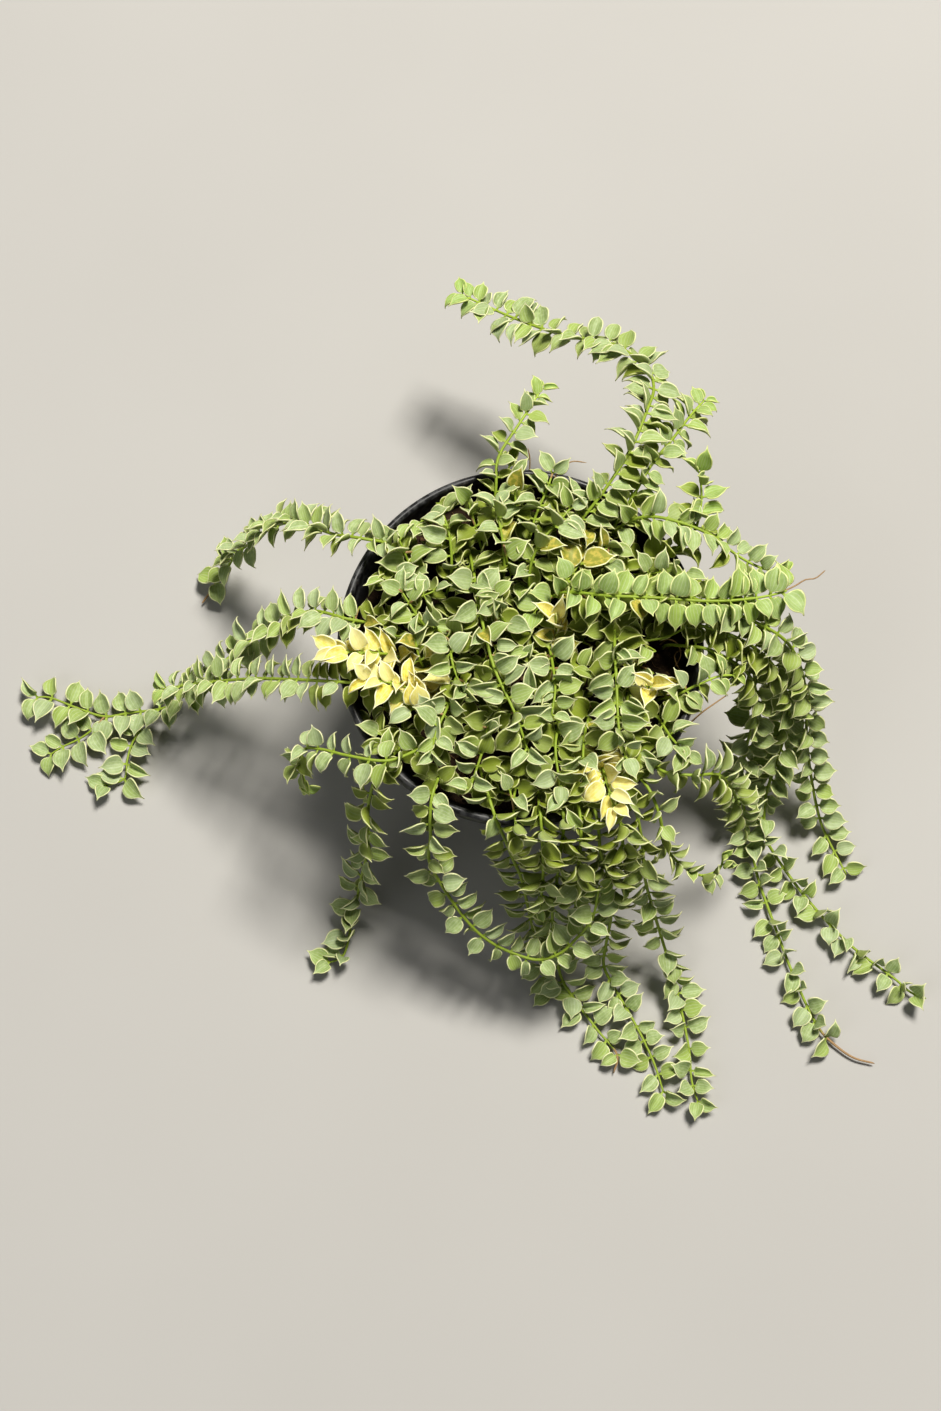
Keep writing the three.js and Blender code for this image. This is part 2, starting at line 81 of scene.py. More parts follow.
# %% Camera
CAMERA_PLACE = (-24.6, -237.5, 1055.4)  # millimetres
CAMERA_TILT = 12.5  # degrees off the plumb line
camera_data = bpy.data.cameras.new("overhead_camera")
camera_data.lens = 50
camera_data.sensor_width = 36
camera_data.sensor_fit = "AUTO"
camera = bpy.data.objects.new("overhead_camera", camera_data)
camera.location = [distance * MM for distance in CAMERA_PLACE]
camera.rotation_euler = (math.radians(CAMERA_TILT), 0, 0)
bpy.context.scene.collection.objects.link(camera)
bpy.context.scene.camera = camera
print("camera height, metres:", round(camera.location.z, 3))

# %% [markdown]
# ## Floor and light
# The studio is plain: one pale floor, a soft light high at the back right, where the photograph's light
# comes from, a weaker and wider one from the front left, and a little light from all round. The main
# light hangs far away, so that leaves on top of the plant and leaves on the floor get the same light. It
# is still large, because a small one would draw hard shadows between hundreds of leaves.


# %% Lights
def soft_light(name, position, aim, size, power, colour):
    """A square area light that faces the point aim. Positions are in metres."""
    data = bpy.data.lights.new(name, "AREA")
    data.size = size
    data.energy = power
    data.color = colour
    light = bpy.data.objects.new(name, data)
    light.location = position
    light.rotation_euler = (Vector(aim) - Vector(position)).to_track_quat("-Z", "Y").to_euler()
    bpy.context.scene.collection.objects.link(light)


plant_middle = (0, 0, 120 * MM)
soft_light("key_light", (1.0, 1.8, 4.4), plant_middle, size=1.2, power=285, colour=(1.0, 0.97, 0.91))
soft_light("fill_light", (-1.9, -1.5, 2.0), plant_middle, size=2.2, power=14, colour=(0.96, 0.98, 1.0))
world = bpy.data.worlds.new("studio_air")
world.use_nodes = True
air = world.node_tree.nodes["Background"].inputs
air["Color"].default_value = (0.98, 0.98, 1.0, 1)
air["Strength"].default_value = 0.07
bpy.context.scene.world = world
bpy.context.scene.view_settings.view_transform = "Standard"
bpy.context.scene.view_settings.look = "Medium High Contrast"

# %% [markdown]
# ## Patterns that add up like numbers
# The colours of a leaf could be painted on an image, but then two thousand leaves would share it. Here a
# material is a sum of small patterns that never repeats, and each pattern comes out of a socket of a
# shader node. `Signal` wraps one such socket, so that patterns can be added and multiplied in a plain
# line of Python. Every sum makes its own Math node.


# %% Signals
class Signal:
    """One output socket of a shader node, which can stand in a sum like a number."""

    def __init__(self, finish, socket):
        self.finish = finish
        self.socket = socket

    def calculate(self, operation, first, second):
        return self.finish.node("ShaderNodeMath", {"operation": operation}, {0: first, 1: second})

    def __add__(self, other):
        return self.calculate("ADD", self, other)

    __radd__ = __add__

    def __mul__(self, other):
        return self.calculate("MULTIPLY", self, other)

    __rmul__ = __mul__

    def __sub__(self, other):
        return self.calculate("SUBTRACT", self, other)

    def __rsub__(self, other):
        return self.calculate("SUBTRACT", other, self)


print("signals can be added, subtracted and multiplied")

# %% [markdown]
# ## A short way to write materials
# `Finish` holds a material while it is being built. Its one method `node` makes any node, and the others
# are short names for the few that come back all the time: a blend of two colours, a soft threshold, a
# cloud of noise, a number stored with the mesh, and a relief. All patterns are measured in millimetres on
# the object itself, so they have the right grain whatever the size of a piece.


# %% Finishes
class Finish:
    """A material under construction. Constant values are set on the shader's own sockets."""

    def __init__(self, name, **constants):
        self.material = bpy.data.materials.new(name)
        self.material.use_nodes = True
        self.tree = self.material.node_tree
        self.surface = self.tree.nodes["Principled BSDF"]
        for socket, value in constants.items():
            self.surface.inputs[socket.replace("_", " ")].default_value = value

    def plug(self, value, socket):
        """Links a signal to the socket, or sets the socket to a plain value."""
        if isinstance(value, Signal):
            self.tree.links.new(value.socket, socket)
        else:
            socket.default_value = value

    def node(self, kind, settings=None, inputs=None, output=0):
        """A new node of that kind. Its settings come first, because some of them change its sockets."""
        made = self.tree.nodes.new(kind)
        for key, value in (settings or {}).items():
            setattr(made, key, value)
        for key, value in (inputs or {}).items():
            self.plug(value, made.inputs[key])
        return Signal(self, made.outputs[output])

    def blend(self, share, first, second):
        """A colour that goes from the first to the second as share goes from 0 to 1."""
        settings = {"data_type": "RGBA"}
        return self.node("ShaderNodeMix", settings, {0: share, 6: first, 7: second}, 2)

    def ramp(self, value, low, high):
        """0 where value is below low, 1 above high, and smooth between."""
        settings = {"interpolation_type": "SMOOTHSTEP"}
        return self.node("ShaderNodeMapRange", settings, {0: value, 1: low, 2: high})

    def place_mm(self):
        """The place of a point on the object, in millimetres."""
        place = self.node("ShaderNodeTexCoord", output="Object")
        return self.node("ShaderNodeVectorMath", {"operation": "SCALE"}, {0: place, "Scale": 1 / MM})

    def cloud(self, grain_mm, detail, place=None):
        """Soft noise from 0 to 1 whose lumps are about grain_mm across."""
        inputs = {"Vector": place or self.place_mm(), "Scale": 1 / grain_mm, "Detail": detail}
        return self.node("ShaderNodeTexNoise", {"noise_dimensions": "3D"}, inputs)

    def attribute(self, name, part):
        """One number of a mesh attribute that holds three: part is X, Y or Z."""
        vector = self.node("ShaderNodeAttribute", {"attribute_name": name}, output="Vector")
        return self.node("ShaderNodeSeparateXYZ", None, {0: vector}, part)

    def relief(self, height, depth_mm, strength):
        """A bumped normal from a height that runs from 0 to 1."""
        inputs = {"Height": height, "Distance": depth_mm * MM, "Strength": strength}
        return self.node("ShaderNodeBump", None, inputs)

    def feed(self, **signals):
        """Plugs the signals into the shader and hands over the finished material."""
        for socket, signal in signals.items():
            self.plug(signal, self.surface.inputs[socket.replace("_", " ")])
        return self.material


print("ready to mix materials")

# %% [markdown]
# ## Meshes from arrays
# Thousands of leaves are too many to make one by one with Blender's operators. Their corners are worked
# out in numpy, and one function writes them all into a mesh, with the numbers that the materials need.


# %% Mesh writer
def write_piece(name, corners, quads, material_of_quad, attributes, materials):
    """A smooth object at the origin from corners in millimetres and faces of four corners each."""
    mesh = bpy.data.meshes.new(name)
    mesh.vertices.add(len(corners))
    mesh.vertices.foreach_set("co", (np.asarray(corners) * MM).astype(np.float32).ravel())
    mesh.loops.add(4 * len(quads))
    mesh.loops.foreach_set("vertex_index", np.asarray(quads, np.int32).ravel())
    mesh.polygons.add(len(quads))
    mesh.polygons.foreach_set("loop_start", np.arange(len(quads), dtype=np.int32) * 4)
    mesh.polygons.foreach_set("material_index", np.asarray(material_of_quad, np.int32))
    mesh.update(calc_edges=True)
    mesh.shade_smooth()
    for label, values in attributes.items():
        layer = mesh.attributes.new(label, "FLOAT_VECTOR", "POINT")
        layer.data.foreach_set("vector", np.asarray(values, np.float32).ravel())
    for material in materials:
        mesh.materials.append(material)
    piece = bpy.data.objects.new(name, mesh)
    bpy.context.scene.collection.objects.link(piece)
    return piece


print("ready to write meshes")

# %% [markdown]
# ## One kind of face for everything
# Leaves, stems and the potting mix are all closed tubes: rings of corners, one after the other, with a
# cap at each end. A leaf is a flat tube, a stem a round one. So one function works out the faces of them
# all. The caps are strips of four-cornered faces too, so a mesh has no other kind.


# %% Tube faces
def ring_quads(rings, columns):
    """Faces of a tube with that many rings of corners, closed at both ends. Columns is even."""
    ring = np.arange(columns)
    ahead = np.roll(ring, -1)
    start = np.arange(rings - 1)[:, None] * columns
    wall = np.stack([start + ring, start + ahead, start + columns + ahead, start + columns + ring], -1)
    half = columns // 2
    cap = np.array([[i, columns - 1 - i, columns - 2 - i, i + 1] for i in range(half - 1)])
    far_cap = cap[:, ::-1] + (rings - 1) * columns
    return np.concatenate([wall.reshape(-1, 4), cap, far_cap])


print("faces of a leaf-sized tube:", len(ring_quads(14, 12)))

# %% [markdown]
# ## The pot's measures
# These are the CAD model's own sizes, repeated here, because leaves must lie over the lip and stay out of
# the soil.

# %% Pot and soil sizes
POT_HEIGHT = 125
LIP_RADIUS = 90
LIP_WIDTH = 4
LIP_DEPTH = 10
BASE_RADIUS = 66
WALL = 1.8
SEAT_GAP = 0.3  # between the soil and the pot
SOIL_LEVEL = 105
SOIL_DOME = 4
SOIL_LUMP = 1.4
UNDER_LIP = POT_HEIGHT - LIP_DEPTH


def wall_radius(z):
    """The outer radius of the tapered wall at a height, below the lip."""
    return BASE_RADIUS + (LIP_RADIUS - LIP_WIDTH - BASE_RADIUS) * z / UNDER_LIP


def soil_height(x, y):
    """How high the potting mix stands: a low dome with soft lumps."""
    inward = 1 - np.minimum(1, np.hypot(x, y) / (wall_radius(SOIL_LEVEL) - WALL))
    lumps = np.sin(x * 0.21 + 1) * np.cos(y * 0.17) + np.sin(x * 0.09 - y * 0.13)
    return SOIL_LEVEL + SOIL_DOME * np.sqrt(inward) + SOIL_LUMP * lumps * np.minimum(1, inward * 3)


print("soil in the middle stands at", round(float(soil_height(0.0, 0.0)), 1), "mm")

# %% [markdown]
# ## The routes of the stems
# Stems grown by a random rule would look like some plant, but not like this one. So each stem was
# followed in the photograph, and its height was judged from its shadow and its blur. The first
# pair of numbers is its foot in the soil, and the points after it are where it passes, with their
# heights. The number before a route says how steeply its leaves look up, in degrees: low for stems that
# hang down the front, where the leaves face outwards. Further routes in the same brackets are branches,
# which start on the first one.

# %% Routes of the trailing stems
TRAILING_STEMS = {
    "trail_back_long": (75, [
        [(14, 48), (24, 55, 128), (41, 74, 138), (54, 94, 142), (63, 116, 138), (67, 129, 133),
         (65, 141, 128), (49, 159, 118), (25, 169, 106), (-1, 183, 96), (-29, 199, 90)],
    ]),
    "trail_back_short_right": (70, [
        [(44, 56), (49, 64, 124), (56, 74, 131), (65, 89, 133), (76, 104, 128), (87, 121, 118),
         (95, 132, 110)],
    ]),
    "trail_back_upright": (70, [
        [(-16, 61), (-13, 68, 126), (-12, 78, 134), (-11, 91, 137), (-1, 108, 138), (5, 118, 136),
         (11, 129, 134)],
    ]),
    "trail_right_upright": (70, [
        [(60, 40), (70, 44, 125), (79, 48, 129), (86, 56, 130), (89, 69, 135), (88, 82, 142)],
    ]),
    "trail_right_back": (75, [
        [(41, 55), (53, 61, 128), (64, 61, 137), (78, 57, 140), (94, 51, 137), (106, 43, 132),
         (118, 37, 130), (129, 34, 131)],
    ]),
    "trail_right_level": (80, [
        [(13, 22), (20, 22, 138), (43, 17, 150), (66, 16, 150), (91, 15, 148), (115, 18, 144),
         (133, 24, 140), (146, 32, 138)],
    ]),
    "trail_right_floor_inner": (58, [
        [(72, 2), (79, -1, 124), (90, -4, 130), (101, -9, 129), (112, -14, 118), (118, -20, 102),
         (119, -30, 80), (118, -41, 58), (118, -55, 38), (122, -68, 22), (127, -85, 9),
         (130, -99, 5), (139, -127, 4), (150, -158, 4), (161, -181, 4), (168, -188, 3),
         (178, -195, 3), (189, -198, 3)],
    ]),
    "trail_right_floor_outer": (66, [
        [(73, 14), (80, 11, 125), (92, 6, 131), (105, 1, 132), (120, -6, 122), (133, -16, 98),
         (138, -30, 68), (135, -46, 46), (132, -61, 28), (134, -79, 13), (140, -88, 6),
         (149, -101, 4), (158, -113, 4), (179, -136, 4), (202, -154, 4), (210, -161, 4),
         (218, -164, 3)],
    ]),
    "trail_far_right": (68, [
        [(69, 28), (78, 25, 126), (91, 17, 136), (106, 10, 140), (127, 1, 132), (139, -8, 110),
         (146, -19, 84), (150, -33, 58), (155, -46, 36), (161, -63, 18), (166, -74, 8),
         (174, -90, 5), (178, -98, 5)],
    ]),
    "trail_front_right_arch": (35, [
        [(52, -48), (60, -57, 124), (68, -65, 131), (82, -67, 132), (94, -65, 124),
         (103, -67, 105), (109, -72, 86), (116, -80, 60)],
    ]),
    "trail_front_right_curl": (45, [
        [(48, -56), (55, -65, 126), (61, -74, 131), (66, -86, 128), (70, -97, 108), (80, -105, 92),
         (91, -109, 85), (100, -105, 84), (101, -98, 88)],
    ]),
    "trail_front_right_floor": (45, [
        [(42, -62), (47, -69, 126), (53, -80, 131), (58, -95, 117), (62, -110, 86), (68, -121, 58),
         (74, -132, 34), (81, -148, 14), (85, -160, 6), (91, -191, 4), (92, -207, 4),
         (95, -218, 4)],
    ]),
    "trail_front_loop": (70, [
        [(-36, -58), (-40, -67, 126), (-43, -77, 130), (-44, -86, 126), (-44, -94, 113),
         (-45, -103, 98), (-40, -112, 84), (-25, -131, 64), (-15, -139, 58), (-2, -145, 54),
         (10, -148, 54), (21, -145, 58), (29, -138, 64), (36, -130, 74), (39, -115, 94)],
    ]),
    "trail_front_left_inner": (20, [
        [(-20, -60), (-18, -70, 126), (-15, -80, 130), (-12, -89, 129), (-8, -96, 119),
         (-4, -103, 103), (0, -109, 88), (5, -122, 54), (10, -138, 26), (15, -152, 9),
         (18, -160, 4)],
    ]),
    "trail_front_middle": (25, [
        [(17, -68), (18, -78, 127), (20, -88, 131), (19, -100, 120), (18, -113, 92),
         (17, -126, 60), (20, -141, 30), (24, -155, 12), (31, -165, 5), (43, -181, 4),
         (53, -194, 4), (51, -203, 3)],
    ]),
    "trail_front_middle_right": (25, [
        [(30, -68), (33, -77, 127), (36, -89, 131), (38, -101, 118), (45, -114, 86),
         (47, -126, 58), (46, -138, 32), (46, -148, 14), (51, -157, 6), (63, -178, 4),
         (72, -197, 4), (77, -213, 4)],
    ]),
    "trail_front_left_floor": (50, [
        [(-55, -46), (-62, -56, 126), (-68, -63, 131), (-72, -71, 123), (-75, -80, 104),
         (-76, -88, 80), (-78, -96, 58), (-82, -105, 36), (-85, -114, 18), (-88, -124, 8),
         (-93, -142, 5), (-100, -145, 4)],
    ]),
    "trail_left_front": (65, [
        [(-34, -46), (-47, -53, 130), (-64, -61, 138), (-84, -58, 136), (-96, -54, 130),
         (-105, -52, 121), (-109, -58, 106), (-106, -65, 92)],
    ]),
    "trail_left_middle": (70, [
        [(-62, -20), (-74, -21, 127), (-86, -21, 131), (-100, -19, 126), (-117, -15, 112),
         (-134, -11, 96), (-162, -7, 70), (-189, -5, 46)],
    ]),
    "trail_left_long": (70, [
        [(-66, 11), (-76, 10, 127), (-86, 11, 131), (-96, 15, 127), (-105, 18, 118),
         (-122, 16, 98), (-142, 13, 70), (-166, 3, 38), (-182, -5, 22), (-193, -8, 12),
         (-210, -9, 7), (-225, -11, 6), (-241, -6, 6), (-258, 0, 6), (-269, -2, 6)],
        [(-225, -11, 6), (-230, -17, 6), (-238, -23, 5), (-248, -28, 5), (-254, -32, 5)],
        [(-200, -9, 9), (-205, -18, 7), (-210, -27, 5), (-212, -36, 5), (-213, -45, 4),
         (-223, -49, 3)],
    ]),
    "trail_left_back": (65, [
        [(-54, 46), (-64, 50, 127), (-76, 51, 132), (-84, 53, 130), (-92, 56, 124),
         (-103, 64, 110), (-115, 72, 94), (-128, 75, 76), (-140, 74, 56), (-152, 72, 36),
         (-159, 68, 20), (-166, 64, 9), (-171, 58, 4), (-174, 54, 3)],
    ]),
    "trail_right_short": (70, [
        [(67, -26), (76, -26, 126), (86, -22, 131), (96, -18, 131), (103, -17, 129)],
    ]),
    "trail_front_short_left": (25, [
        [(8, -66), (8, -77, 127), (9, -89, 132), (10, -101, 121), (11, -113, 98), (10, -124, 72)],
    ]),
    "trail_front_short_middle": (25, [
        [(24, -66), (26, -76, 127), (28, -90, 132), (28, -103, 120), (28, -114, 94),
         (28, -123, 70)],
    ]),
    "trail_front_short_right": (25, [
        [(36, -58), (41, -70, 127), (45, -82, 132), (48, -94, 127), (49, -104, 104),
         (50, -113, 80)],
    ]),
}
print("trailing stems:", len(TRAILING_STEMS))

# %% [markdown]
# ## The routes inside the rim
# The crown's stems are short, and only stretches of them show between the leaves, so these routes are a
# reading of the carpet. The yellow sprays stand where the photograph shows cream yellow leaves. Three of
# their routes stop one leaf's length short of the CAD model's, because the last leaves reach that far.
# The spray at the right, third in the list, stands 4 mm higher than there, so that its star of leaves
# shows.

# %% Routes of the crown
CROWN_ROUTES = [
    [(-26, 55), (-22, 27, 135), (-18, 2, 142), (-13, -18, 145), (-3, -41, 146), (4, -61, 140)],
    [(0, 45), (4, 51, 128), (8, 64, 134), (13, 75, 136), (16, 84, 136)],
    [(-32, 47), (-40, 54, 128), (-47, 63, 134), (-53, 71, 134)],
    [(-50, 26), (-57, 26, 128), (-62, 33, 132), (-70, 39, 130)],
    [(-40, 6), (-47, 8, 128), (-54, 17, 134), (-58, 23, 136)],
    [(0, 6), (-6, 8, 128), (-12, 13, 138), (-13, 19, 144)],
    [(46, 16), (46, 8, 126), (45, -2, 138), (45, -22, 145), (46, -49, 146), (49, -60, 142)],
    [(25, -25), (19, -39, 130), (16, -53, 138), (17, -66, 138), (20, -77, 136)],
    [(35, -2), (45, -2, 126), (58, -1, 132), (71, 1, 134), (79, 5, 134)],
    [(-25, -4), (-32, -19, 128), (-35, -33, 137), (-41, -48, 141), (-43, -57, 140)],
    [(-10, -25), (-15, -39, 130), (-18, -53, 136), (-25, -74, 132)],
    [(13, 6), (15, -10, 130), (16, -27, 140), (14, -40, 142)],
    [(36, -28), (31, -44, 130), (29, -58, 140), (29, -72, 140)],
    [(-45, -13), (-49, -10, 128), (-52, 1, 134)],
    [(67, -34), (68, -40, 126), (72, -49, 133), (78, -57, 137)],
    [(23, 44), (35, 46, 126), (44, 47, 130)],
    [(52, 38), (60, 34, 128), (70, 33, 136), (80, 32, 137)],
    [(-37, 26), (-34, 36, 128), (-35, 52, 136), (-40, 69, 134)],
    [(-17, 45), (-21, 54, 128), (-25, 67, 136), (-28, 81, 132)],
    [(0, 60), (-2, 67, 128), (-3, 78, 133), (-6, 88, 131)],
    [(-50, 33), (-55, 40, 128), (-60, 50, 138), (-65, 60, 138)],
    [(8, 21), (4, 31, 128), (8, 45, 138), (19, 58, 140), (28, 69, 138)],
    [(-10, 26), (-8, 36, 128), (-9, 49, 137), (-12, 65, 139)],
    [(60, -7), (52, -25, 130), (51, -41, 137), (56, -56, 134)],
    [(2, -58), (-3, -72, 128), (-4, -84, 134), (-2, -95, 128)],
    [(-22, 21), (-31, 6, 128), (-34, -9, 138), (-29, -27, 142)],
    [(20, -40), (13, -32, 126), (4, -26, 132), (-7, -27, 134)],
]
YELLOW_ROUTES = [
    [(-45, -20), (-52, -24, 128), (-61, -23, 136), (-73, -22, 141)],
    [(-57, -7), (-64, -7, 130), (-75, -8, 138), (-88, -8, 141)],
    [(60, -20), (61, -22, 124), (62, -24, 139)],
    [(38, -46), (38, -58, 128), (40, -71, 139), (43, -83, 141)],
    [(20, 1), (18, 5, 122), (17, 11, 130)],
]
print("crown stems:", len(CROWN_ROUTES), "yellow sprays:", len(YELLOW_ROUTES))

# %% [markdown]
# ## The foot of a stem
# A stem stands in the soil, in a hole of its own, and comes up straight before it bends. A route gives
# its foot as two numbers only, and the soil's height there gives the rest. A branch starts on its stem
# and has no foot.

# %% Feet
STEM_BURIED = 8
STEM_UPRIGHT = 6


def with_foot(route):
    """The route's points, with the short upright piece in the soil in place of its foot."""
    if len(route[0]) == 3:
        return np.array(route, float)
    x, y = route[0]
    surface = float(soil_height(x, y))
    return np.array([(x, y, surface - STEM_BURIED), (x, y, surface + STEM_UPRIGHT), *route[1:]], float)


print("the first crown stem starts at", with_foot(CROWN_ROUTES[0])[0].round(1))

# %% [markdown]
# ## A smooth stem through the points
# A spline that slows down between close points, called centripetal, never overshoots, so the stem can't
# cut through the pot's lip. It is the same curve as in the CAD source. It is measured out into steps of
# one millimetre, because leaves sit at even distances along a stem.

# %% Smooth curves
STRETCH_STEPS = 24  # fine steps between two of the route's points


def smooth_curve(points):
    """Points one millimetre apart on a centripetal spline through the given points."""
    points = np.vstack([2 * points[0] - points[1], points, 2 * points[-1] - points[-2]])
    fine = []
    for before, start, end, after in zip(points, points[1:], points[2:], points[3:]):
        gaps = [max(np.linalg.norm(b - a) ** 0.5, 1e-4) for a, b in
                ((before, start), (start, end), (end, after))]
        leave = (start - before) / gaps[0] - (end - before) / (gaps[0] + gaps[1]) + (end - start) / gaps[1]
        arrive = (end - start) / gaps[1] - (after - start) / (gaps[1] + gaps[2]) + (after - end) / gaps[2]
        leave = leave * gaps[1]
        arrive = arrive * gaps[1]
        t = np.linspace(0, 1, STRETCH_STEPS, endpoint=False)[:, None]
        square = -3 * start + 3 * end - 2 * leave - arrive
        cube = 2 * start - 2 * end + leave + arrive
        fine.append(start + t * leave + t**2 * square + t**3 * cube)
    fine = np.vstack([*fine, points[-2:-1]])
    travelled = np.concatenate([[0], np.cumsum(np.linalg.norm(np.diff(fine, axis=0), axis=1))])
    steps = np.linspace(0, travelled[-1], max(4, int(travelled[-1])))
    return np.stack([np.interp(steps, travelled, fine[:, axis]) for axis in range(3)], 1)


example = smooth_curve(with_foot(TRAILING_STEMS["trail_back_long"][1][0]))
print("the long arch at the back is", len(example), "mm long")

# %% [markdown]
# ## The shape of a leaf
# A leaf is a round, fleshy blade with a short stalk and a drawn-out tip. It could be sculpted once and
# copied, but every copy would be the same. So it is laid out as a table that can be bent afresh for each
# leaf: rings of corners from the stem to the tip. The table gives each ring's place along the leaf, its
# half width and its thickness, as shares of the whole. Nine corners cross the top from rim to rim, with a
# low cord along each rim, and three come back below it.

# %% Leaf table
LEAF_RINGS = np.array([
    (0.00, 0.11, 0.80), (0.11, 0.10, 0.72), (0.142, 0.21, 0.78), (0.165, 0.47, 0.85), (0.215, 0.74, 0.95),
    (0.295, 0.925, 1.00), (0.40, 1.00, 1.00), (0.51, 0.99, 1.00), (0.61, 0.89, 0.95), (0.69, 0.73, 0.88),
    (0.755, 0.50, 0.76), (0.815, 0.255, 0.62), (0.895, 0.10, 0.48), (1.00, 0.025, 0.25),
])
LEAF_COLUMNS = np.array([
    (-1, 0.0), (-0.93, 0.92), (-0.79, 0.70), (-0.42, 0.90), (0, 0.50), (0.42, 0.90), (0.79, 0.70),
    (0.93, 0.92), (1, 0.0), (0.7, -0.85), (0, -1.0), (-0.7, -0.85),
])
LEAF_LENGTH = 14.3
LEAF_WIDTH = 10.0
LEAF_THICKNESS = 1.15
print("rings of a leaf:", len(LEAF_RINGS), "corners in each:", len(LEAF_COLUMNS))

# %% [markdown]
# ## Bending a leaf
# No two leaves are alike. Eleven numbers, the leaf's traits, turn the same flat table into a shape of its
# own. The halves fold up about the midrib and round themselves into a shallow cup, and the outline
# ripples. Then the spine rises, arches and hooks down at the tip, and the blade twists along it. All
# leaves of a stem go through these sums together, because numpy bends a hundred leaves as fast as one.

# %% Leaf shape
TRAITS = ("length", "width", "thick", "fold", "cup", "rise", "arch", "hook", "wave", "phase", "twist")
FOLD_START, FOLD_STRETCH = 0.1, 0.15  # shares of the leaf's length
HOOK_START, HOOK_STRETCH = 0.68, 0.32
RIPPLES, RIPPLE_SHIFT = 9.5, 1.9  # radians along the leaf, and from one half to the other


def leaned(out, up, angle):
    """Where a point goes that lies out and up from the midrib, when it turns by an angle in radians."""
    return out * np.cos(angle) - up * np.sin(angle), out * np.sin(angle) + up * np.cos(angle)


def shape_leaves(traits, roots, frames, rings, columns):
    """Corners of many leaves at once: leaves x rings x columns x 3, in millimetres."""
    own = {name: traits[:, i, None, None] for i, name in enumerate(TRAITS)}
    along, half_share, thick_share = (rings[None, :, None, i] for i in range(3))
    across, lift = (columns[None, None, :, i] for i in range(2))
    half = own["width"] / 2
    from_rib = np.abs(across) * half * half_share
    bend = np.maximum(own["cup"], 0.02) / half
    fold = own["fold"] * np.clip((along - FOLD_START) / FOLD_STRETCH, 0, 1)
    out = np.sin(bend * from_rib) / bend
    up = (1 - np.cos(bend * from_rib)) / bend
    out, up = leaned(out, up, fold)
    ripple = np.sin(RIPPLES * along + own["phase"] + RIPPLE_SHIFT * (across < 0))
    up = up + own["wave"] * ripple * (across * half_share) ** 2
    skin = lift * thick_share * own["thick"] / 2
    slope = fold + bend * from_rib
    out = np.sign(across) * (out - skin * np.sin(slope))
    up = up + skin * np.cos(slope)
    out, up = leaned(out, up, own["twist"] * along)
    hooked = np.clip((along - HOOK_START) / HOOK_STRETCH, 0, 1)
    pitch = own["rise"] + own["arch"] * along + own["hook"] * hooked
    step = np.diff(rings[:, 0], prepend=0)[None, :, None] * own["length"]
    spine_out = np.cumsum(step * np.cos(pitch), axis=1)
    spine_up = np.cumsum(step * np.sin(pitch), axis=1)
    local = np.stack([spine_out - up * np.sin(pitch) + 0 * out, out, spine_up + up * np.cos(pitch)], -1)
    return roots[:, None, None] + np.einsum("nrck,nkj->nrcj", local, frames)


flat_traits = np.zeros((1, len(TRAITS)))
flat_traits[0, :3] = LEAF_LENGTH, LEAF_WIDTH, LEAF_THICKNESS
flat_leaf = shape_leaves(flat_traits, np.zeros((1, 3)), np.eye(3)[None], LEAF_RINGS, LEAF_COLUMNS)
flat_corners = flat_leaf.reshape(-1, 3)
print("a flat leaf, long, wide and thick in mm:", (flat_corners.max(0) - flat_corners.min(0)).round(1))

# %% [markdown]
# ## How far a point is from the rim
# The cream rim is a band of even width, so the material needs to know how far each corner is from the
# outline. The distance is measured once on a flat leaf and stored with every copy. The stalk counts as
# far from the rim, so it gets no cream band.

# %% Distance to the rim
STALK_DISTANCE = 3.0
SHOULDER_DISTANCE = 1.2  # on the ring where the blade begins


def rim_distances():
    """Distance in millimetres from each corner of a flat leaf to its outline, rings x columns."""
    x = LEAF_RINGS[:, 0] * LEAF_LENGTH
    y = LEAF_RINGS[:, 1] * LEAF_WIDTH / 2
    t = np.linspace(0, 1, 200)
    outline_x = np.interp(t, LEAF_RINGS[:, 0], x)
    outline_y = np.interp(t, LEAF_RINGS[:, 0], y)
    corner_x = np.repeat(x[:, None], len(LEAF_COLUMNS), 1)
    corner_y = np.abs(LEAF_COLUMNS[None, :, 0]) * y[:, None]
    gaps = np.hypot(corner_x[..., None] - outline_x, corner_y[..., None] - outline_y)
    distance = gaps.min(axis=2)
    distance[:2] = STALK_DISTANCE
    distance[2] = SHOULDER_DISTANCE
    return distance


RIM_DISTANCE = rim_distances()
print("corners of a leaf:", RIM_DISTANCE.size, "deepest point from the rim:", round(RIM_DISTANCE.max(), 2))

# %% [markdown]
# ## Which way a leaf looks
# Leaves turn to the light. On top of the plant they look up, on hanging stems outwards, and on stems that
# lie on the floor up again. The step from hanging to lying is a soft one.

# %% The way to the light
LYING_FACE = 88  # degrees that a leaf on the floor looks up
LYING_HEIGHT = 6  # a stem lies below this height
LYING_FADE = 30  # and hangs freely this much higher


def light_direction(point, face):
    """The way that a leaf at this point looks. face is its stem's own number of degrees upwards."""
    outward = unit(np.array([point[0], point[1], 0.0]))
    lying = min(max(1 - (point[2] - LYING_HEIGHT) / LYING_FADE, 0), 1)
    tilt = math.radians(face + (LYING_FACE - face) * lying)
    return outward * math.cos(tilt) + np.array([0, 0, math.sin(tilt)])


print("a hanging leaf at the right looks along", light_direction((100, 0, 90), 45).round(2))

# %% [markdown]
# ## How a leaf sits on its stem
# A leaf leaves its stem sideways and leans a little towards the tip. Its upper face turns to the light as
# far as its stalk allows. Three directions hold all of that: along the leaf, across it, and out of its
# upper face. A stem that points straight at the light has no sideways of its own, and there any fixed
# direction serves.


# %% Leaf frames
def turned(vector, axis, angle):
    """The vector turned about the axis by an angle in radians."""
    return (vector * math.cos(angle) + np.cross(axis, vector) * math.sin(angle)
            + axis * np.dot(axis, vector) * (1 - math.cos(angle)))


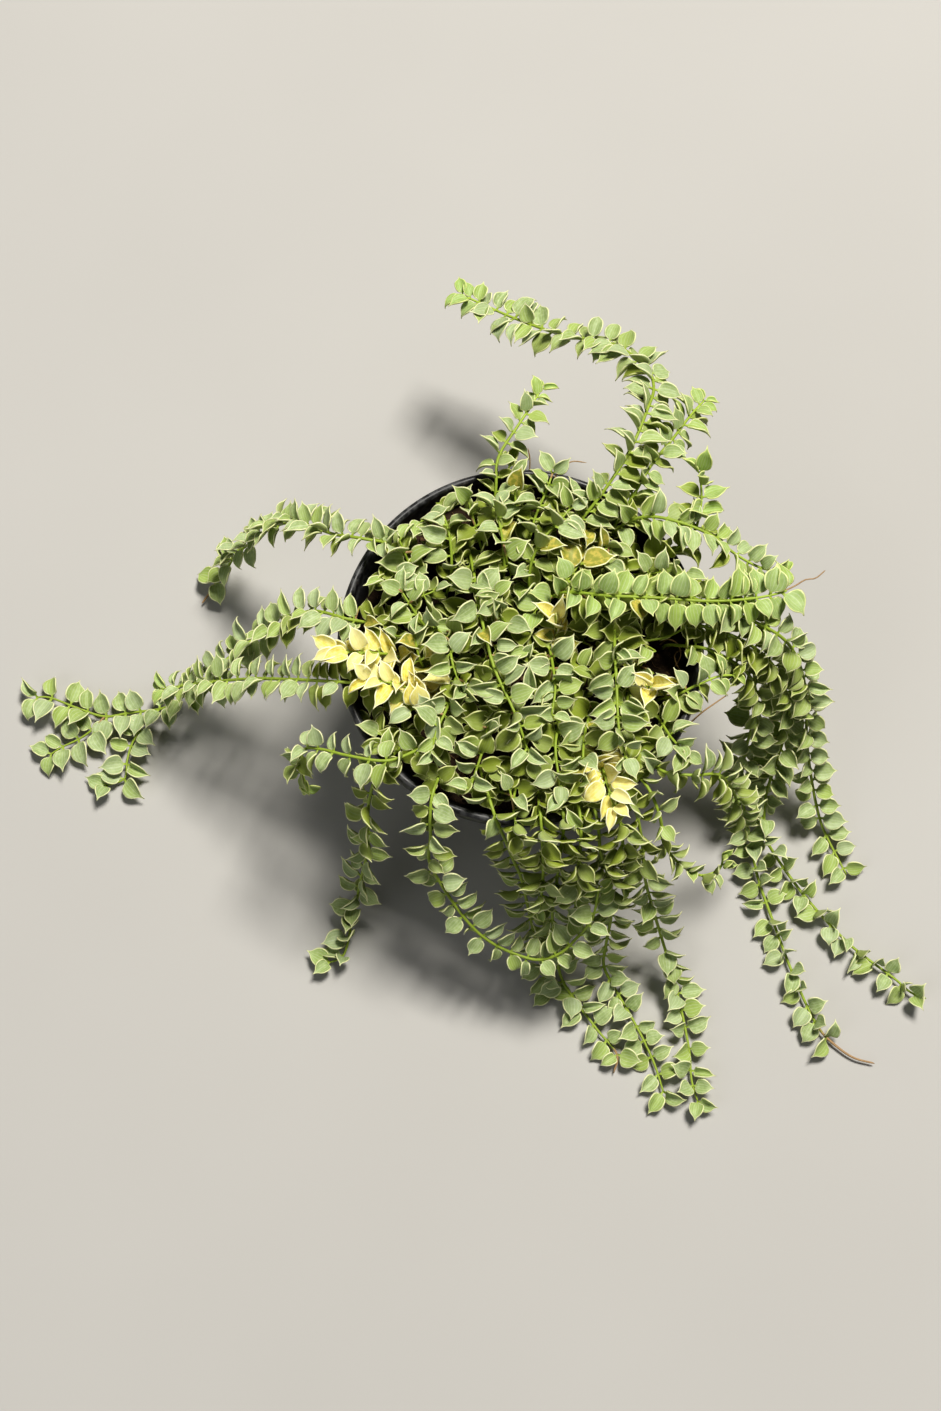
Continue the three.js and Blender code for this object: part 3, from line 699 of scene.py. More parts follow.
def leaf_frame(tangent, light, side, roll, lean, forward, pitch):
    """Three rows: along the leaf, across it, and out of its upper face."""
    sideways = np.cross(tangent, light)
    if np.linalg.norm(sideways) < 0.25:
        sideways = np.cross(tangent, (0.3, 1.0, 0.2))
    sideways = turned(unit(sideways), tangent, roll) * side
    along = unit(sideways * math.cos(lean) + tangent * math.sin(lean))
    looks = light + forward * tangent
    normal = unit(looks - along * np.dot(looks, along))
    normal = turned(normal, along, pitch)
    return np.stack([along, np.cross(normal, along), normal])


level_leaf = leaf_frame(np.array([1.0, 0, 0]), np.array([0, 0, 1.0]), 1, 0, 0, 0, 0)
print("a leaf on a level stem looks along", level_leaf[2])

# %% [markdown]
# ## Finding a free place
# Real leaves push each other aside. So each new leaf is tried in thirteen turns, and the one that comes
# least close to what already stands there is kept. A coarse copy of the leaf is enough for that, with
# three points on each of five rings.

# %% Trial turns
TRIES = np.array([  # roll about the stem, pitch about the leaf, rise of the leaf
    (0, 0, 0), (0.3, 0, 0), (-0.3, 0, 0), (0, 0.35, 0), (0, -0.35, 0), (0, 0, 0.3), (0, 0, -0.3),
    (0.3, 0.3, 0.3), (-0.3, -0.3, 0.3), (0.6, 0, 0.2), (-0.6, 0, 0.2), (0, 0.5, 0.45), (0, -0.5, 0.45),
])
PROBE_RINGS = LEAF_RINGS[[4, 6, 8, 10, 13]]
PROBE_COLUMNS = np.array([(-0.85, 0.0), (0, 0.0), (0.85, 0.0)])
print("turns tried for each leaf:", len(TRIES))

# %% [markdown]
# ## Remembering what stands where
# Comparing each new leaf with all the others would take long. Points on stems and on placed leaves are
# remembered in cells of 8 mm instead, so that only near neighbours are compared. Each point carries its
# owner: the number of its stem if it lies on a leaf, and a number below zero if it lies on a stem.

# %% Remembered points
CELL = 8.0
cells = {}


def remember(points, owner):
    """Writes each point into the list of its cell."""
    for point in points:
        key = tuple((point // CELL).astype(int))
        cells.setdefault(key, []).append((*point, owner))


def near(centre):
    """Remembered points around a place, as rows of x, y, z and owner."""
    base = (centre // CELL).astype(int)
    found = []
    for dx in (-1, 0, 1):
        for dy in (-1, 0, 1):
            for dz in (-1, 0, 1):
                found += cells.get((base[0] + dx, base[1] + dy, base[2] + dz), [])
    return np.array(found) if found else np.zeros((0, 4))


def leaf_points():
    """All remembered points that lie on leaves."""
    return np.array([point[:3] for cell in cells.values() for point in cell if point[3] >= 0])


print("cells in use so far:", len(cells))

# %% [markdown]
# ## What a place costs
# In the open air a trial leaf costs nothing. It costs more the closer its points come to other leaves and
# to stems, and most of all below the floor. Each point inside the pot's wall or the soil costs a fixed
# amount.

# %% Crowding
LEAF_ROOM = 1.7  # millimetres that points of two leaves keep between them
FLOOR_ROOM = 0.9
FLOOR_COST = 20
INSIDE_COST = 6
LIP_DEEP, WALL_DEEP = 6, 4  # how thick the lip and the wall count


def crowding(probes, neighbours):
    """How much each trial leaf collides: with leaves and stems, the floor, the pot and the soil."""
    apart = np.linalg.norm(probes[:, :, None] - neighbours[None, None, :, :3], axis=-1)
    cost = (np.maximum(0, LEAF_ROOM - apart) ** 2).sum((1, 2))
    x, y, z = probes[..., 0], probes[..., 1], probes[..., 2]
    radius = np.hypot(x, y)
    cost += FLOOR_COST * (np.maximum(0, FLOOR_ROOM - z) ** 2).sum(1)
    beside_lip = z > UNDER_LIP - 1
    outer = np.where(beside_lip, LIP_RADIUS + 1, wall_radius(z) + 1)
    inner = outer - np.where(beside_lip, LIP_DEEP, WALL_DEEP)
    in_wall = (radius > inner) & (radius < outer) & (z < POT_HEIGHT + 1)
    cost += INSIDE_COST * in_wall.sum(1)
    in_soil = (radius < outer) & (z < soil_height(x, y) + 1) & (z > 2)
    return cost + INSIDE_COST * in_soil.sum(1)


air_and_soil = np.array([[[0, 0, 200.0]], [[0, 0, 90.0]]])
print("cost of a point in the air and in the soil:", crowding(air_and_soil, near(np.zeros(3))))

# %% [markdown]
# ## Places that stay bare
# At the back left and at the front the photograph shows the bare lip of the pot, and at the right bare
# potting mix. Crown leaves that would cover those places are left out.

# %% Bare places
BARE_RIM = [(97, 176), (-118, -96)]  # degrees about the pot's axis
BARE_SOIL = [((76, -6), 12)]  # a place and a radius
NEAR_LIP = 83  # distance from the pot's axis


def covers_bare(points):
    """True where a crown leaf would hang over a stretch of the lip or the soil that shows bare."""
    outer = points[np.hypot(points[:, 0], points[:, 1]) > NEAR_LIP]
    turns = np.degrees(np.arctan2(outer[:, 1], outer[:, 0]))
    over_lip = any(((turns > low) & (turns < high)).any() for low, high in BARE_RIM)
    over_soil = any((np.hypot(points[:, 0] - x, points[:, 1] - y) < radius).any()
                    for (x, y), radius in BARE_SOIL)
    return over_lip or over_soil


print("a leaf on the lip at the back left is left out:", covers_bare(np.array([(-80.0, 40.0, 128.0)])))

# %% [markdown]
# ## Yellow places
# A few leaves have faded. Whole sprays are cream yellow, and single leaves inside the plant are golden.
# Each entry is a place, a radius and how faded its leaves are, where 0.5 is golden and 1 is cream yellow.

# %% Faded leaves
FADED_PLACES = [
    ((31, 46, 130), 11, 0.55), ((39, 45, 132), 9, 0.6), ((-35, 47, 137), 5, 0.95), ((-32, 21, 137), 5, 0.9),
    ((15, 1, 137), 6, 0.95), ((21, 6, 138), 5, 1.0), ((12, -8, 134), 5, 0.6), ((36, -57, 137), 8, 1.0),
    ((-25, 60, 134), 4, 0.9), ((62, -23, 133), 9, 1.0), ((-46, -24, 135), 9, 1.0), ((-50, -9, 132), 8, 0.58),
]
GOLDEN = 0.5
GOLDEN_CHANCE = 0.02  # for a leaf anywhere inside the rim
INSIDE_RIM = 84


def faded(point, chance):
    """How faded a leaf at this point is. chance is a number from 0 to 1 that belongs to the leaf."""
    for place, radius, amount in FADED_PLACES:
        if np.linalg.norm(point - np.array(place)) < radius:
            return amount
    inside = math.hypot(point[0], point[1]) < INSIDE_RIM
    return GOLDEN if inside and chance < GOLDEN_CHANCE else 0.0


print("places with faded leaves:", len(FADED_PLACES))

# %% [markdown]
# ## The habits of the stems
# Stems differ with age and light, and this table was read from the photograph. `step` is the distance
# from leaf pair to leaf pair, `size` and `slim` shape the leaves, and `wild` says how much they differ.
# `forward` and `raised` turn the two leaves of a pair, each by its own amount, `raised_lying` does so on
# the floor, and `lean` points both towards the tip. `fresh` makes the green brighter, and `bare_foot` is
# the stretch near the soil without leaves.
#
# The last leaves of a stem are young. `tip_size`, `tip_step` and `tip_youth` say how small, how close and
# how yellow green they are, and `bare_tip`, `dry_tip` and `cut` how much of the end is bare, dry or gone.
# Stems on the floor carry large leaves to their ends, so they share one set of numbers for that.

# %% Habits
USUAL_HABIT = {
    "step": 8.4, "size": 1.0, "slim": 1.0, "wild": 0.26, "fresh": 0, "lean": 0,
    "forward": (0.35, 0.35), "raised": (0, 0), "raised_lying": (0, 0),
    "bare_foot": 17, "bare_tip": 0.5, "dry_tip": 0, "cut": 0,
    "tip_size": 0.66, "tip_step": 5.5, "tip_youth": 1.0,
}
LYING_TIP = {"tip_size": 0.92, "tip_step": 8.5, "tip_youth": 0.35}
HABITS = {
    "trail_back_long": {"step": 5.7, "size": 1.1, "wild": 0.2, "fresh": 0.12},
    "trail_back_short_right": {"step": 6.4, "fresh": 0.4},
    "trail_back_upright": {"step": 6.3, "size": 0.92, "fresh": 0.2},
    "trail_right_upright": {"step": 7.0, "size": 1.12, "fresh": 0.6, "tip_size": 0.85},
    "trail_right_back": {"step": 6.6, "fresh": 0.3},
    "trail_right_level": {"step": 6.6, "size": 1.08, "slim": 1.18, "wild": 0.17, "fresh": 0.55,
                          "tip_size": 1.1, "bare_tip": 23, "cut": 20},
    "trail_right_floor_inner": {"step": 5.6, "slim": 1.15, "raised_lying": (0, 1.0), "bare_foot": 25,
                                "bare_tip": 29, "dry_tip": 30} | LYING_TIP,
    "trail_right_floor_outer": {"step": 5.6, "slim": 1.15, "raised_lying": (0, 1.0),
                                "bare_tip": 7} | LYING_TIP,
    "trail_far_right": {"step": 6.8, "slim": 1.12, "wild": 0.2, "bare_tip": 4} | LYING_TIP,
    "trail_front_right_arch": {"step": 6.6, "forward": (1.0, 1.0)},
    "trail_front_right_curl": {"step": 8.0, "size": 0.8, "raised": (0.8, 0.8)},
    "trail_front_right_floor": {"step": 9.0, "raised_lying": (1.0, 0)} | LYING_TIP,
    "trail_front_loop": {"step": 8.6, "raised": (-0.2, -0.5), "wild": 0.18},
    "trail_front_left_inner": {"step": 7.8, "forward": (0.7, 0.7)} | LYING_TIP,
    "trail_front_middle": {"step": 8.6, "forward": (0.6, 0.6), "bare_tip": 10, "dry_tip": 12} | LYING_TIP,
    "trail_front_middle_right": {"step": 8.2, "forward": (0.6, 0.6)} | LYING_TIP,
    "trail_front_left_floor": {"step": 9.5, "raised_lying": (0, 1.0)} | LYING_TIP,
    "trail_left_middle": {"step": 6.6, "forward": (0.6, 0.1), "wild": 0.16, "slim": 0.88},
    "trail_left_long": {"step": 5.6, "size": 1.08, "forward": (0.3, -0.2), "wild": 0.12, "slim": 0.84,
                        "bare_tip": 7, "cut": 6} | LYING_TIP,
    "trail_left_back": {"step": 5.4, "forward": (0.3, 0.2), "raised": (0.4, 0.1), "wild": 0.2, "slim": 0.88,
                        "bare_tip": 17, "dry_tip": 13},
    "trail_right_short": {"step": 6.4},
    "trail_front_short_left": {"step": 7.4, "forward": (0.6, 0.6), "wild": 0.45},
    "trail_front_short_middle": {"step": 7.4, "forward": (0.6, 0.6), "wild": 0.45},
    "trail_front_short_right": {"step": 7.4, "forward": (0.6, 0.6), "wild": 0.45},
    "trailing": {},
    "crown": {"step": 7.0, "size": 1.13, "wild": 0.46, "tip_size": 0.75, "tip_youth": 0.3},
    "yellow": {"step": 4.6, "size": 1.12, "wild": 0.18, "forward": (0.1, 0.1), "slim": 0.86, "bare_foot": 7,
               "tip_size": 0.95, "tip_youth": 0.3, "lean": 0.35},
    "yellow_spray_03": {"step": 4.6, "size": 1.3, "wild": 0.2, "forward": (0, 0), "slim": 0.8, "bare_foot": 7,
                        "tip_size": 1.0, "tip_youth": 0.3, "lean": 0.05},
}
print("stems and kinds with habits of their own:", len(HABITS))

# %% [markdown]
# ## A record for each stem
# While a stem grows it gathers tubes for itself and its branches, and for each leaf its traits, its root,
# its frame and its nature. A small class keeps them together with the stem's curves and its habit. A stem
# that isn't in the table has the habit of its kind.


# %% Stem record
class Stem:
    """One leafy stem: its curves, its habit, and the leaves that have been placed on it."""

    def __init__(self, index, name, kind, face, routes):
        self.index = index
        self.name = name
        self.kind = kind
        self.face = face
        self.curves = [smooth_curve(with_foot(route)) for route in routes]
        self.habit = USUAL_HABIT | HABITS.get(name, HABITS[kind])
        self.is_shoot = False
        self.tubes = []
        self.traits = []
        self.roots = []
        self.frames = []
        self.natures = []
        self.middles = []


print("usual distance from pair to pair:", USUAL_HABIT["step"], "mm")

# %% [markdown]
# ## The numbers of one leaf
# Each leaf gets its own length, fold, cup and ripple from a random generator. The generator starts from a
# fixed seed, so no two leaves are the same and yet every run gives the same plant. Young leaves are
# slimmer, and stand more folded and more upright.

# %% Leaf numbers
random = np.random.default_rng(7)


def leaf_traits(size, slim, kind, youth):
    """One row of leaf numbers, in the order of TRAITS."""
    slim = slim - 0.1 * youth
    return np.array([
        LEAF_LENGTH * size * random.uniform(0.93, 1.08),
        LEAF_WIDTH * size * slim * random.uniform(0.9, 1.08),
        LEAF_THICKNESS * (0.8 + 0.2 * size),
        abs(random.normal(0.32 if kind == "yellow" else 0.14, 0.22)) + 0.2 * youth,
        random.uniform(0.2, 0.9),
        random.uniform(-0.1, 0.45) + 0.2 * youth,
        random.uniform(-0.6, 0.2),
        random.uniform(-1.1, 0.1),
        random.uniform(0.1, 0.6) * size,
        random.uniform(0, 6.28),
        random.uniform(-0.5, 0.5),
    ])


print("numbers for each leaf:", len(TRAITS))

# %% [markdown]
# ## Settling a leaf
# A new leaf is tried in every turn of the table, at its own place on the stem. Each trial is charged for
# crowding, and a little for the turn itself, so that a leaf with room stays as it is.

# %% Settling
TURN_COST = 0.6
REACH = 6  # the neighbours of a leaf are looked for this far out from its root


def settle_leaf(stem, point, tangent, side, roll, lean, forward, traits):
    """The leaf's traits, frame and points in the turn with the most room, or three times None."""
    light = light_direction(point, stem.face)
    centre = point + REACH * unit(np.cross(tangent, light) * side + 1e-6)
    neighbours = near(centre)
    neighbours = neighbours[neighbours[:, 3] != -1 - stem.index]
    frames = np.stack([
        leaf_frame(tangent, light, side, roll + extra, lean, forward, tip * side)
        for extra, tip, _ in TRIES
    ])
    trial_traits = np.repeat(traits[None], len(TRIES), 0)
    trial_traits[:, TRAITS.index("rise")] += TRIES[:, 2]
    roots = np.repeat(point[None], len(TRIES), 0)
    probes = shape_leaves(trial_traits, roots, frames, PROBE_RINGS, PROBE_COLUMNS)
    probes = probes.reshape(len(TRIES), -1, 3)
    cost = crowding(probes, neighbours) + TURN_COST * np.abs(TRIES).sum(1)
    best = int(cost.argmin())
    in_crown = stem.kind != "trailing" or stem.is_shoot
    if in_crown and covers_bare(probes[best]):
        return None, None, None
    remember(probes[best], stem.index)
    return trial_traits[best], frames[best], probes[best]


print("a leaf looks for neighbours within", CELL, "mm or more")

# %% [markdown]
# ## A pair of leaves
# The leaves of this plant sit in pairs, and each pair stands crosswise to the one before. On a level stem
# they all turn their faces up again, so there the quarter turn nearly vanishes. On the floor the leaves
# are a little broader and look almost straight up.

# %% Leaf pairs
LIES_BELOW = 25
LYING_SLIM = 1.1
LYING_FORWARD = (0.2, 0.2)


def grow_pair(stem, point, tangent, pair, grown, youth):
    """Adds two leaves to the stem, one on each side, and tells how many of them found room."""
    habit = stem.habit
    lies = point[2] < LIES_BELOW
    upright = abs(float(np.dot(tangent, light_direction(point, stem.face))))
    size = habit["size"] * (habit["tip_size"] + (1 - habit["tip_size"]) * grown**0.7)
    slim = LYING_SLIM if lies else habit["slim"]
    forward = LYING_FORWARD if lies else habit["forward"]
    raised = habit["raised_lying" if lies else "raised"]
    before = len(stem.roots)
    for which, side in enumerate((1, -1)):
        traits = leaf_traits(size * random.uniform(0.83, 1.13), slim, stem.kind, youth)
        roll = (pair % 2) * (0.35 + 1.2 * upright**2) + random.normal(0, habit["wild"])
        roll -= side * raised[which]
        lean = 0.22 + 0.5 * (1 - grown) ** 1.5 + random.normal(0, habit["wild"])
        lean += habit["lean"]
        looks_ahead = forward[which] + random.normal(0, 1.3 * habit["wild"])
        settled, axes, probes = settle_leaf(stem, point, tangent, side, roll, lean, looks_ahead, traits)
        if settled is None:
            continue
        fade = 1.0 if stem.kind == "yellow" else faded(probes.mean(0), random.uniform())
        stem.traits.append(settled)
        stem.roots.append(point)
        stem.frames.append(axes)
        stem.natures.append((random.uniform(), max(youth, habit["fresh"]), fade))
        stem.middles.append(probes.mean(0))
    return len(stem.roots) - before


print("a stem counts as lying below", LIES_BELOW, "mm")

# %% [markdown]
# ## Growing along a curve
# Pairs are placed from the tip back to the bare foot, and sit closer and smaller the younger they are. On
# the floor they are further apart. If the first pairs find no room, the bare end of the stem is cut off
# just beyond the first pair that does.

# %% Growing
FLOOR_STEP = 10
YOUNG_STRETCH = 18  # leaves within this distance of the tip are still growing
STEM_RADIUS = 0.82
BRANCH_RADIUS = 0.72


def grow(stem, curve, bare, tip_youth, step=None):
    """Leaf pairs along one curve, from its tip back to its bare foot. Returns the places of the pairs."""
    habit = stem.habit
    main = len(stem.tubes) == 0
    tangents = unit(np.gradient(curve, axis=0))
    last = len(curve) - 1
    end = len(curve) - (habit["cut"] if main else 0)
    reach = habit["bare_tip"] if main else 0.5
    pair = 0
    nodes = []
    while reach < last - bare:
        place = last - reach
        low = int(place)
        point = curve[low] + (curve[min(low + 1, last)] - curve[low]) * (place - low)
        grown = min(1.0, reach / YOUNG_STRETCH)
        if grow_pair(stem, point, tangents[low], pair, grown, tip_youth * (1 - grown)):
            if pair > 0 and not nodes:
                end = min(end, low + 2)
            nodes.append(point)
        lies = point[2] < LIES_BELOW
        full_step = step or (max(habit["step"], FLOOR_STEP) if lies else habit["step"])
        tip_step = habit["tip_step"]
        reach += (tip_step + (full_step - tip_step) * grown) * random.uniform(0.85, 1.15)
        pair += 1
    radius = STEM_RADIUS if main else BRANCH_RADIUS
    stem.tubes.append((curve[:end], tip_youth, radius, habit["dry_tip"] if main else 0))
    return nodes


print("distance from pair to pair on the floor:", FLOOR_STEP, "mm or more")

# %% [markdown]
# ## Every stem in its place
# All stems are laid out before a single leaf grows, and points along them are remembered, so that no leaf
# settles inside a stem.

# %% Stems
YELLOW_FACE = 88
CROWN_FACE = 78
stems = []
for name, (face, routes) in TRAILING_STEMS.items():
    stems.append(Stem(len(stems), name, "trailing", face, routes))
for number, route in enumerate(YELLOW_ROUTES, 1):
    stems.append(Stem(len(stems), f"yellow_spray_{number:02d}", "yellow", YELLOW_FACE, [route]))
for number, route in enumerate(CROWN_ROUTES, 1):
    stems.append(Stem(len(stems), f"crown_stem_{number:02d}", "crown", CROWN_FACE, [route]))
for stem in stems:
    for curve in stem.curves:
        remember(curve[::3], -1 - stem.index)
print("stems:", len(stems))

# %% [markdown]
# ## Leaves on the traced stems
# The trailing stems show most, so their leaves choose their places first. The yellow sprays come next,
# and the crown fills what is left.

# %% Leaves
BRANCH_BARE_FOOT = 6
leafy_nodes = []
for stem in stems:
    for number, curve in enumerate(stem.curves):
        bare = stem.habit["bare_foot"] if number == 0 else BRANCH_BARE_FOOT
        nodes = grow(stem, curve, bare, stem.habit["tip_youth"])
        leafy_nodes += [(node, stem) for node in nodes]
print("leaves on the traced stems:", sum(len(stem.roots) for stem in stems))

# %% [markdown]
# ## Gaps in the carpet
# Inside the rim the real plant is a closed carpet, and the traced stems alone leave gaps in it. A grid of
# places covers the circle, and for each place the distance to the nearest leaf tells how far it lies open
# to the light. A few places stay open, because the photograph shows bare soil and the pot's lip there.

# %% Gaps
OPEN_PLACES = [((80, -2), 14), ((-22, -82), 9), ((88, -38), 14), ((-80, 42), 12), ((62, -46), 8)]
CARPET_RADIUS = 82
CARPET_HEIGHT = 119  # lower leaves don't close the carpet
grid = np.arange(-CARPET_RADIUS, CARPET_RADIUS + 1, 4.0)
gap_places = np.array([(x, y) for x in grid for y in grid if math.hypot(x, y) < CARPET_RADIUS])
for (x, y), radius in OPEN_PLACES:
    gap_places = gap_places[np.hypot(gap_places[:, 0] - x, gap_places[:, 1] - y) > radius]
cover = leaf_points()
cover = cover[cover[:, 2] > CARPET_HEIGHT]
openness = np.linalg.norm(gap_places[:, None] - cover[None, :, :2], axis=2).min(1)
print("places in the carpet:", len(gap_places), "widest gap, mm:", round(float(openness.max()), 1))

# %% [markdown]
# ## The shape of a side shoot
# Real plants close such gaps with short side shoots, which spring from a pair of leaves. More stems from
# the soil would do as well, but they would show their bare feet. So each shoot here leaves the nearest
# green stem at one of its pairs, arches over the gap and ends a little beyond it.

# %% Shoot shapes
SHOOT_START = 134  # shoots start best from about this height
SHOOT_TOP = 140
SHOOT_BEYOND = 5
ABOVE_SOIL = 9
TOO_NEAR, DETOUR = 6, 40  # a pair right below the gap counts as this much further away
green_nodes = [(node, stem) for node, stem in leafy_nodes if stem.kind != "yellow"]
node_places = np.array([node for node, _ in green_nodes])


def nearest_node(gap):
    """The leaf pair from which a shoot can reach the gap best: near, but not right below it."""
    span = np.linalg.norm(node_places[:, :2] - gap, axis=1)
    span = span + 0.3 * np.abs(node_places[:, 2] - SHOOT_START)
    span[span < TOO_NEAR] += DETOUR
    return green_nodes[int(span.argmin())]


def shoot_curve(start, gap):
    """A curve from the stem at start over the gap."""
    away = gap - start[:2]
    distance = max(np.linalg.norm(away), 1.0)
    tip = start[:2] + away * (1 + SHOOT_BEYOND / distance)
    lowest = float(soil_height(*tip)) + ABOVE_SOIL
    height = max(lowest, min(start[2], SHOOT_TOP) - random.uniform(0, 12))
    middle = [*(start[:2] + away * 0.45), (start[2] + height) / 2 + 3]
    return smooth_curve(np.array([start, middle, [*gap, height + 1], [*tip, height]]))


print("leaf pairs that a shoot can spring from:", len(green_nodes))

# %% [markdown]
# ## Growing the shoots
# The widest gap gets its shoot first, and the leaves of each shoot make the gaps around it narrower. A
# shoot on which no leaf finds room is given up.

# %% Side shoots
OPEN_FROM = 1.6  # a gap this wide gets a shoot
MOST_SHOOTS = 110
SHOOT_STEP = 6.6
SHOOT_YOUTH = 0.2
SHOOT_BARE_FOOT = 4
shoots = 0
while openness.max() > OPEN_FROM and shoots < MOST_SHOOTS:
    widest = int(openness.argmax())
    start, stem = nearest_node(gap_places[widest])
    grown_before = len(stem.roots)
    stem.is_shoot = True
    grow(stem, shoot_curve(start, gap_places[widest]), SHOOT_BARE_FOOT, SHOOT_YOUTH, SHOOT_STEP)
    openness[widest] = 0
    if len(stem.roots) == grown_before:
        stem.tubes.pop()
        continue
    shoots += 1
    added = shape_leaves(np.array(stem.traits[grown_before:]), np.array(stem.roots[grown_before:]),
                         np.array(stem.frames[grown_before:]), PROBE_RINGS, PROBE_COLUMNS).reshape(-1, 3)
    closer = np.linalg.norm(gap_places[:, None] - added[None, :, :2], axis=2).min(1)
    openness = np.minimum(openness, closer)
print("side shoots:", shoots, "leaves in all:", sum(len(stem.roots) for stem in stems))

# %% [markdown]
# ## Painted shade under other leaves
# Leaves deep in the carpet get little light. Their colour is given a painted shade, a deeper, yellower
# olive than those on top. So for each leaf the points of other leaves are counted that stand in a narrow
# column between it and the light. Stems that hang outside the pot get light from the side as well, so
# there the count weighs less, and their leaves get less painted shade.

# %% Shade
TO_THE_LIGHT = unit(np.array([0.2, 0.4, 0.9]))
COLUMN_RADIUS = 5.5
COLUMN_START, COLUMN_END = 4, 30  # how far ahead of the leaf the column reaches
LIGHT_SHADE, DEEP_SHADE = 3, 15  # points in the column
all_points = leaf_points()
for stem in stems:
    middles = np.array(stem.middles)
    offsets = all_points[None] - middles[:, None]
    ahead = offsets @ TO_THE_LIGHT
    aside = np.linalg.norm(offsets - ahead[..., None] * TO_THE_LIGHT, axis=2)
    between = ((ahead > COLUMN_START) & (ahead < COLUMN_END) & (aside < COLUMN_RADIUS)).sum(1)
    hangs = np.clip((middles[:, 2] - 70) / 50, 0.3, 1)
    # how much painted shade darkens the colour of each leaf
    stem.shades = np.clip((between - LIGHT_SHADE) / (DEEP_SHADE - LIGHT_SHADE), 0, 1) * hangs
shades = np.concatenate([stem.shades for stem in stems])
print("mean shade of the leaves:", round(float(shades.mean()), 2))

# %% [markdown]
# ## Dry threads
# Here and there a stem has died back to a thin brown thread: one curls from the end of the level stem at
# the right, one lies across the lip, two coil over the bare soil, two show at the back and one lies among
# the leaves at the front right. Each belongs to the stem that it is listed with, and starts on it or in
# the soil.

# %% Dry threads
DRY_THREADS = {
    "trail_right_level": [[(125, 21, 141), (133, 25, 140), (138, 28, 140), (143, 29, 139), (148, 33, 139)]],
    "trail_right_short": [
        [(72, -47, 104), (81, -40, 117), (88, -35, 128), (94, -31, 130), (100, -27, 131)],
        [(70, 4, 106), (73, 4, 117), (77, 1, 121), (79, -4, 119), (76, -9, 107)],
        [(84, -1, 106), (80, -1, 115), (76, -4, 118), (78, -10, 115), (83, -11, 107)],
    ],
    "trail_back_upright": [[(6, 85, 104), (5, 88, 118), (5, 95, 127), (4, 99, 130)]],
    "crown_stem_02": [[(17, 82, 135), (21, 88, 132), (26, 92, 130), (33, 91, 131)]],
    "crown_stem_24": [[(50, -44, 134), (58, -46, 128), (66, -42, 124)]],
}
THREAD_RADIUS = 0.46
DRY_ALL_OVER = 1000  # longer than any thread
for stem in stems:
    for thread in DRY_THREADS.get(stem.name, []):
        stem.tubes.append((smooth_curve(np.array(thread, float)), 0.0, THREAD_RADIUS, DRY_ALL_OVER))
print("dry threads:", sum(map(len, DRY_THREADS.values())))

# %% [markdown]
# ## The leaf's finish
# A leaf is matt, slightly mealy and a little translucent. What makes one leaf differ from the next is
# stored with its corners: `blade` holds the place along and across the leaf and the distance to the rim,
# `nature` a random number, youth and fading, and a third set tells the underside and how much painted
# shade the leaf gets from the leaves above it. Three patterns join them: mottled flesh, fine meal, and
# veins that run along the leaf. One finish serves all leaves, because its numbers let a leaf stand
# anywhere between green, golden and cream.

# %% Leaf patterns
leaf = Finish("variegated_leaf", Subsurface_Weight=0.15, Subsurface_Scale=0.002,
              Subsurface_Radius=(0.8, 1.0, 0.3), Specular_IOR_Level=0.42)
leaf_along = leaf.attribute("blade", "X")
leaf_across = leaf.attribute("blade", "Y")
rim_distance = leaf.attribute("blade", "Z")
chance = leaf.attribute("nature", "X")
youth = leaf.attribute("nature", "Y")
fading = leaf.attribute("nature", "Z")
underside = leaf.attribute("side_and_painted_shade", "X")
painted_shade = leaf.attribute("side_and_painted_shade", "Y")
mottle = leaf.cloud(2.2, 3)
meal = leaf.cloud(0.35, 2)
veins = leaf.node("ShaderNodeMath", {"operation": "COSINE"}, {0: leaf_across * 19.6 + mottle * 1.5})
print("nodes for the leaf's patterns:", len(leaf.tree.nodes))

# %% [markdown]
# ## Green faces
# The face is a pale sage green, a little warmer or cooler from leaf to leaf. Young leaves are a brighter
# yellow green. Veins and meal lighten it, and the underside is yellower. Under other leaves a painted
# shade turns the green to a deep olive. Each line below lays one of these over the last.

# %% Green faces
sage = leaf.blend(leaf.ramp(mottle, 0.35, 0.7), (0.29, 0.375, 0.145, 1), (0.41, 0.495, 0.235, 1))
sage = leaf.blend(leaf.ramp(chance, 0.55, 1.0) * 0.8, sage, (0.34, 0.445, 0.09, 1))
sage = leaf.blend((1 - leaf.ramp(chance, 0.0, 0.4)) * 0.6, sage, (0.39, 0.465, 0.265, 1))
fresh = leaf.blend(mottle, (0.27, 0.42, 0.065, 1), (0.38, 0.52, 0.12, 1))
face = leaf.blend(leaf.ramp(youth, 0.1, 0.95) * 0.8, sage, fresh)
face = leaf.blend(leaf.ramp(veins, 0.45, 1.0) * 0.42, face, (0.53, 0.61, 0.38, 1))
face = leaf.blend(leaf.ramp(meal, 0.5, 0.8) * 0.22, face, (0.54, 0.59, 0.42, 1))
face = leaf.blend(underside * 0.7, face, (0.32, 0.375, 0.10, 1))
# painted shade: a leaf under other leaves is darkened to a deep olive
face = leaf.blend(painted_shade * 0.85, face, (0.225, 0.275, 0.018, 1))
print("nodes with the green face:", len(leaf.tree.nodes))

# %% [markdown]
# ## Faded faces
# A leaf that fades turns golden first, in blotches, and then cream yellow all over, with paler veins. The
# stored fading picks green, golden or cream, with soft steps between them.

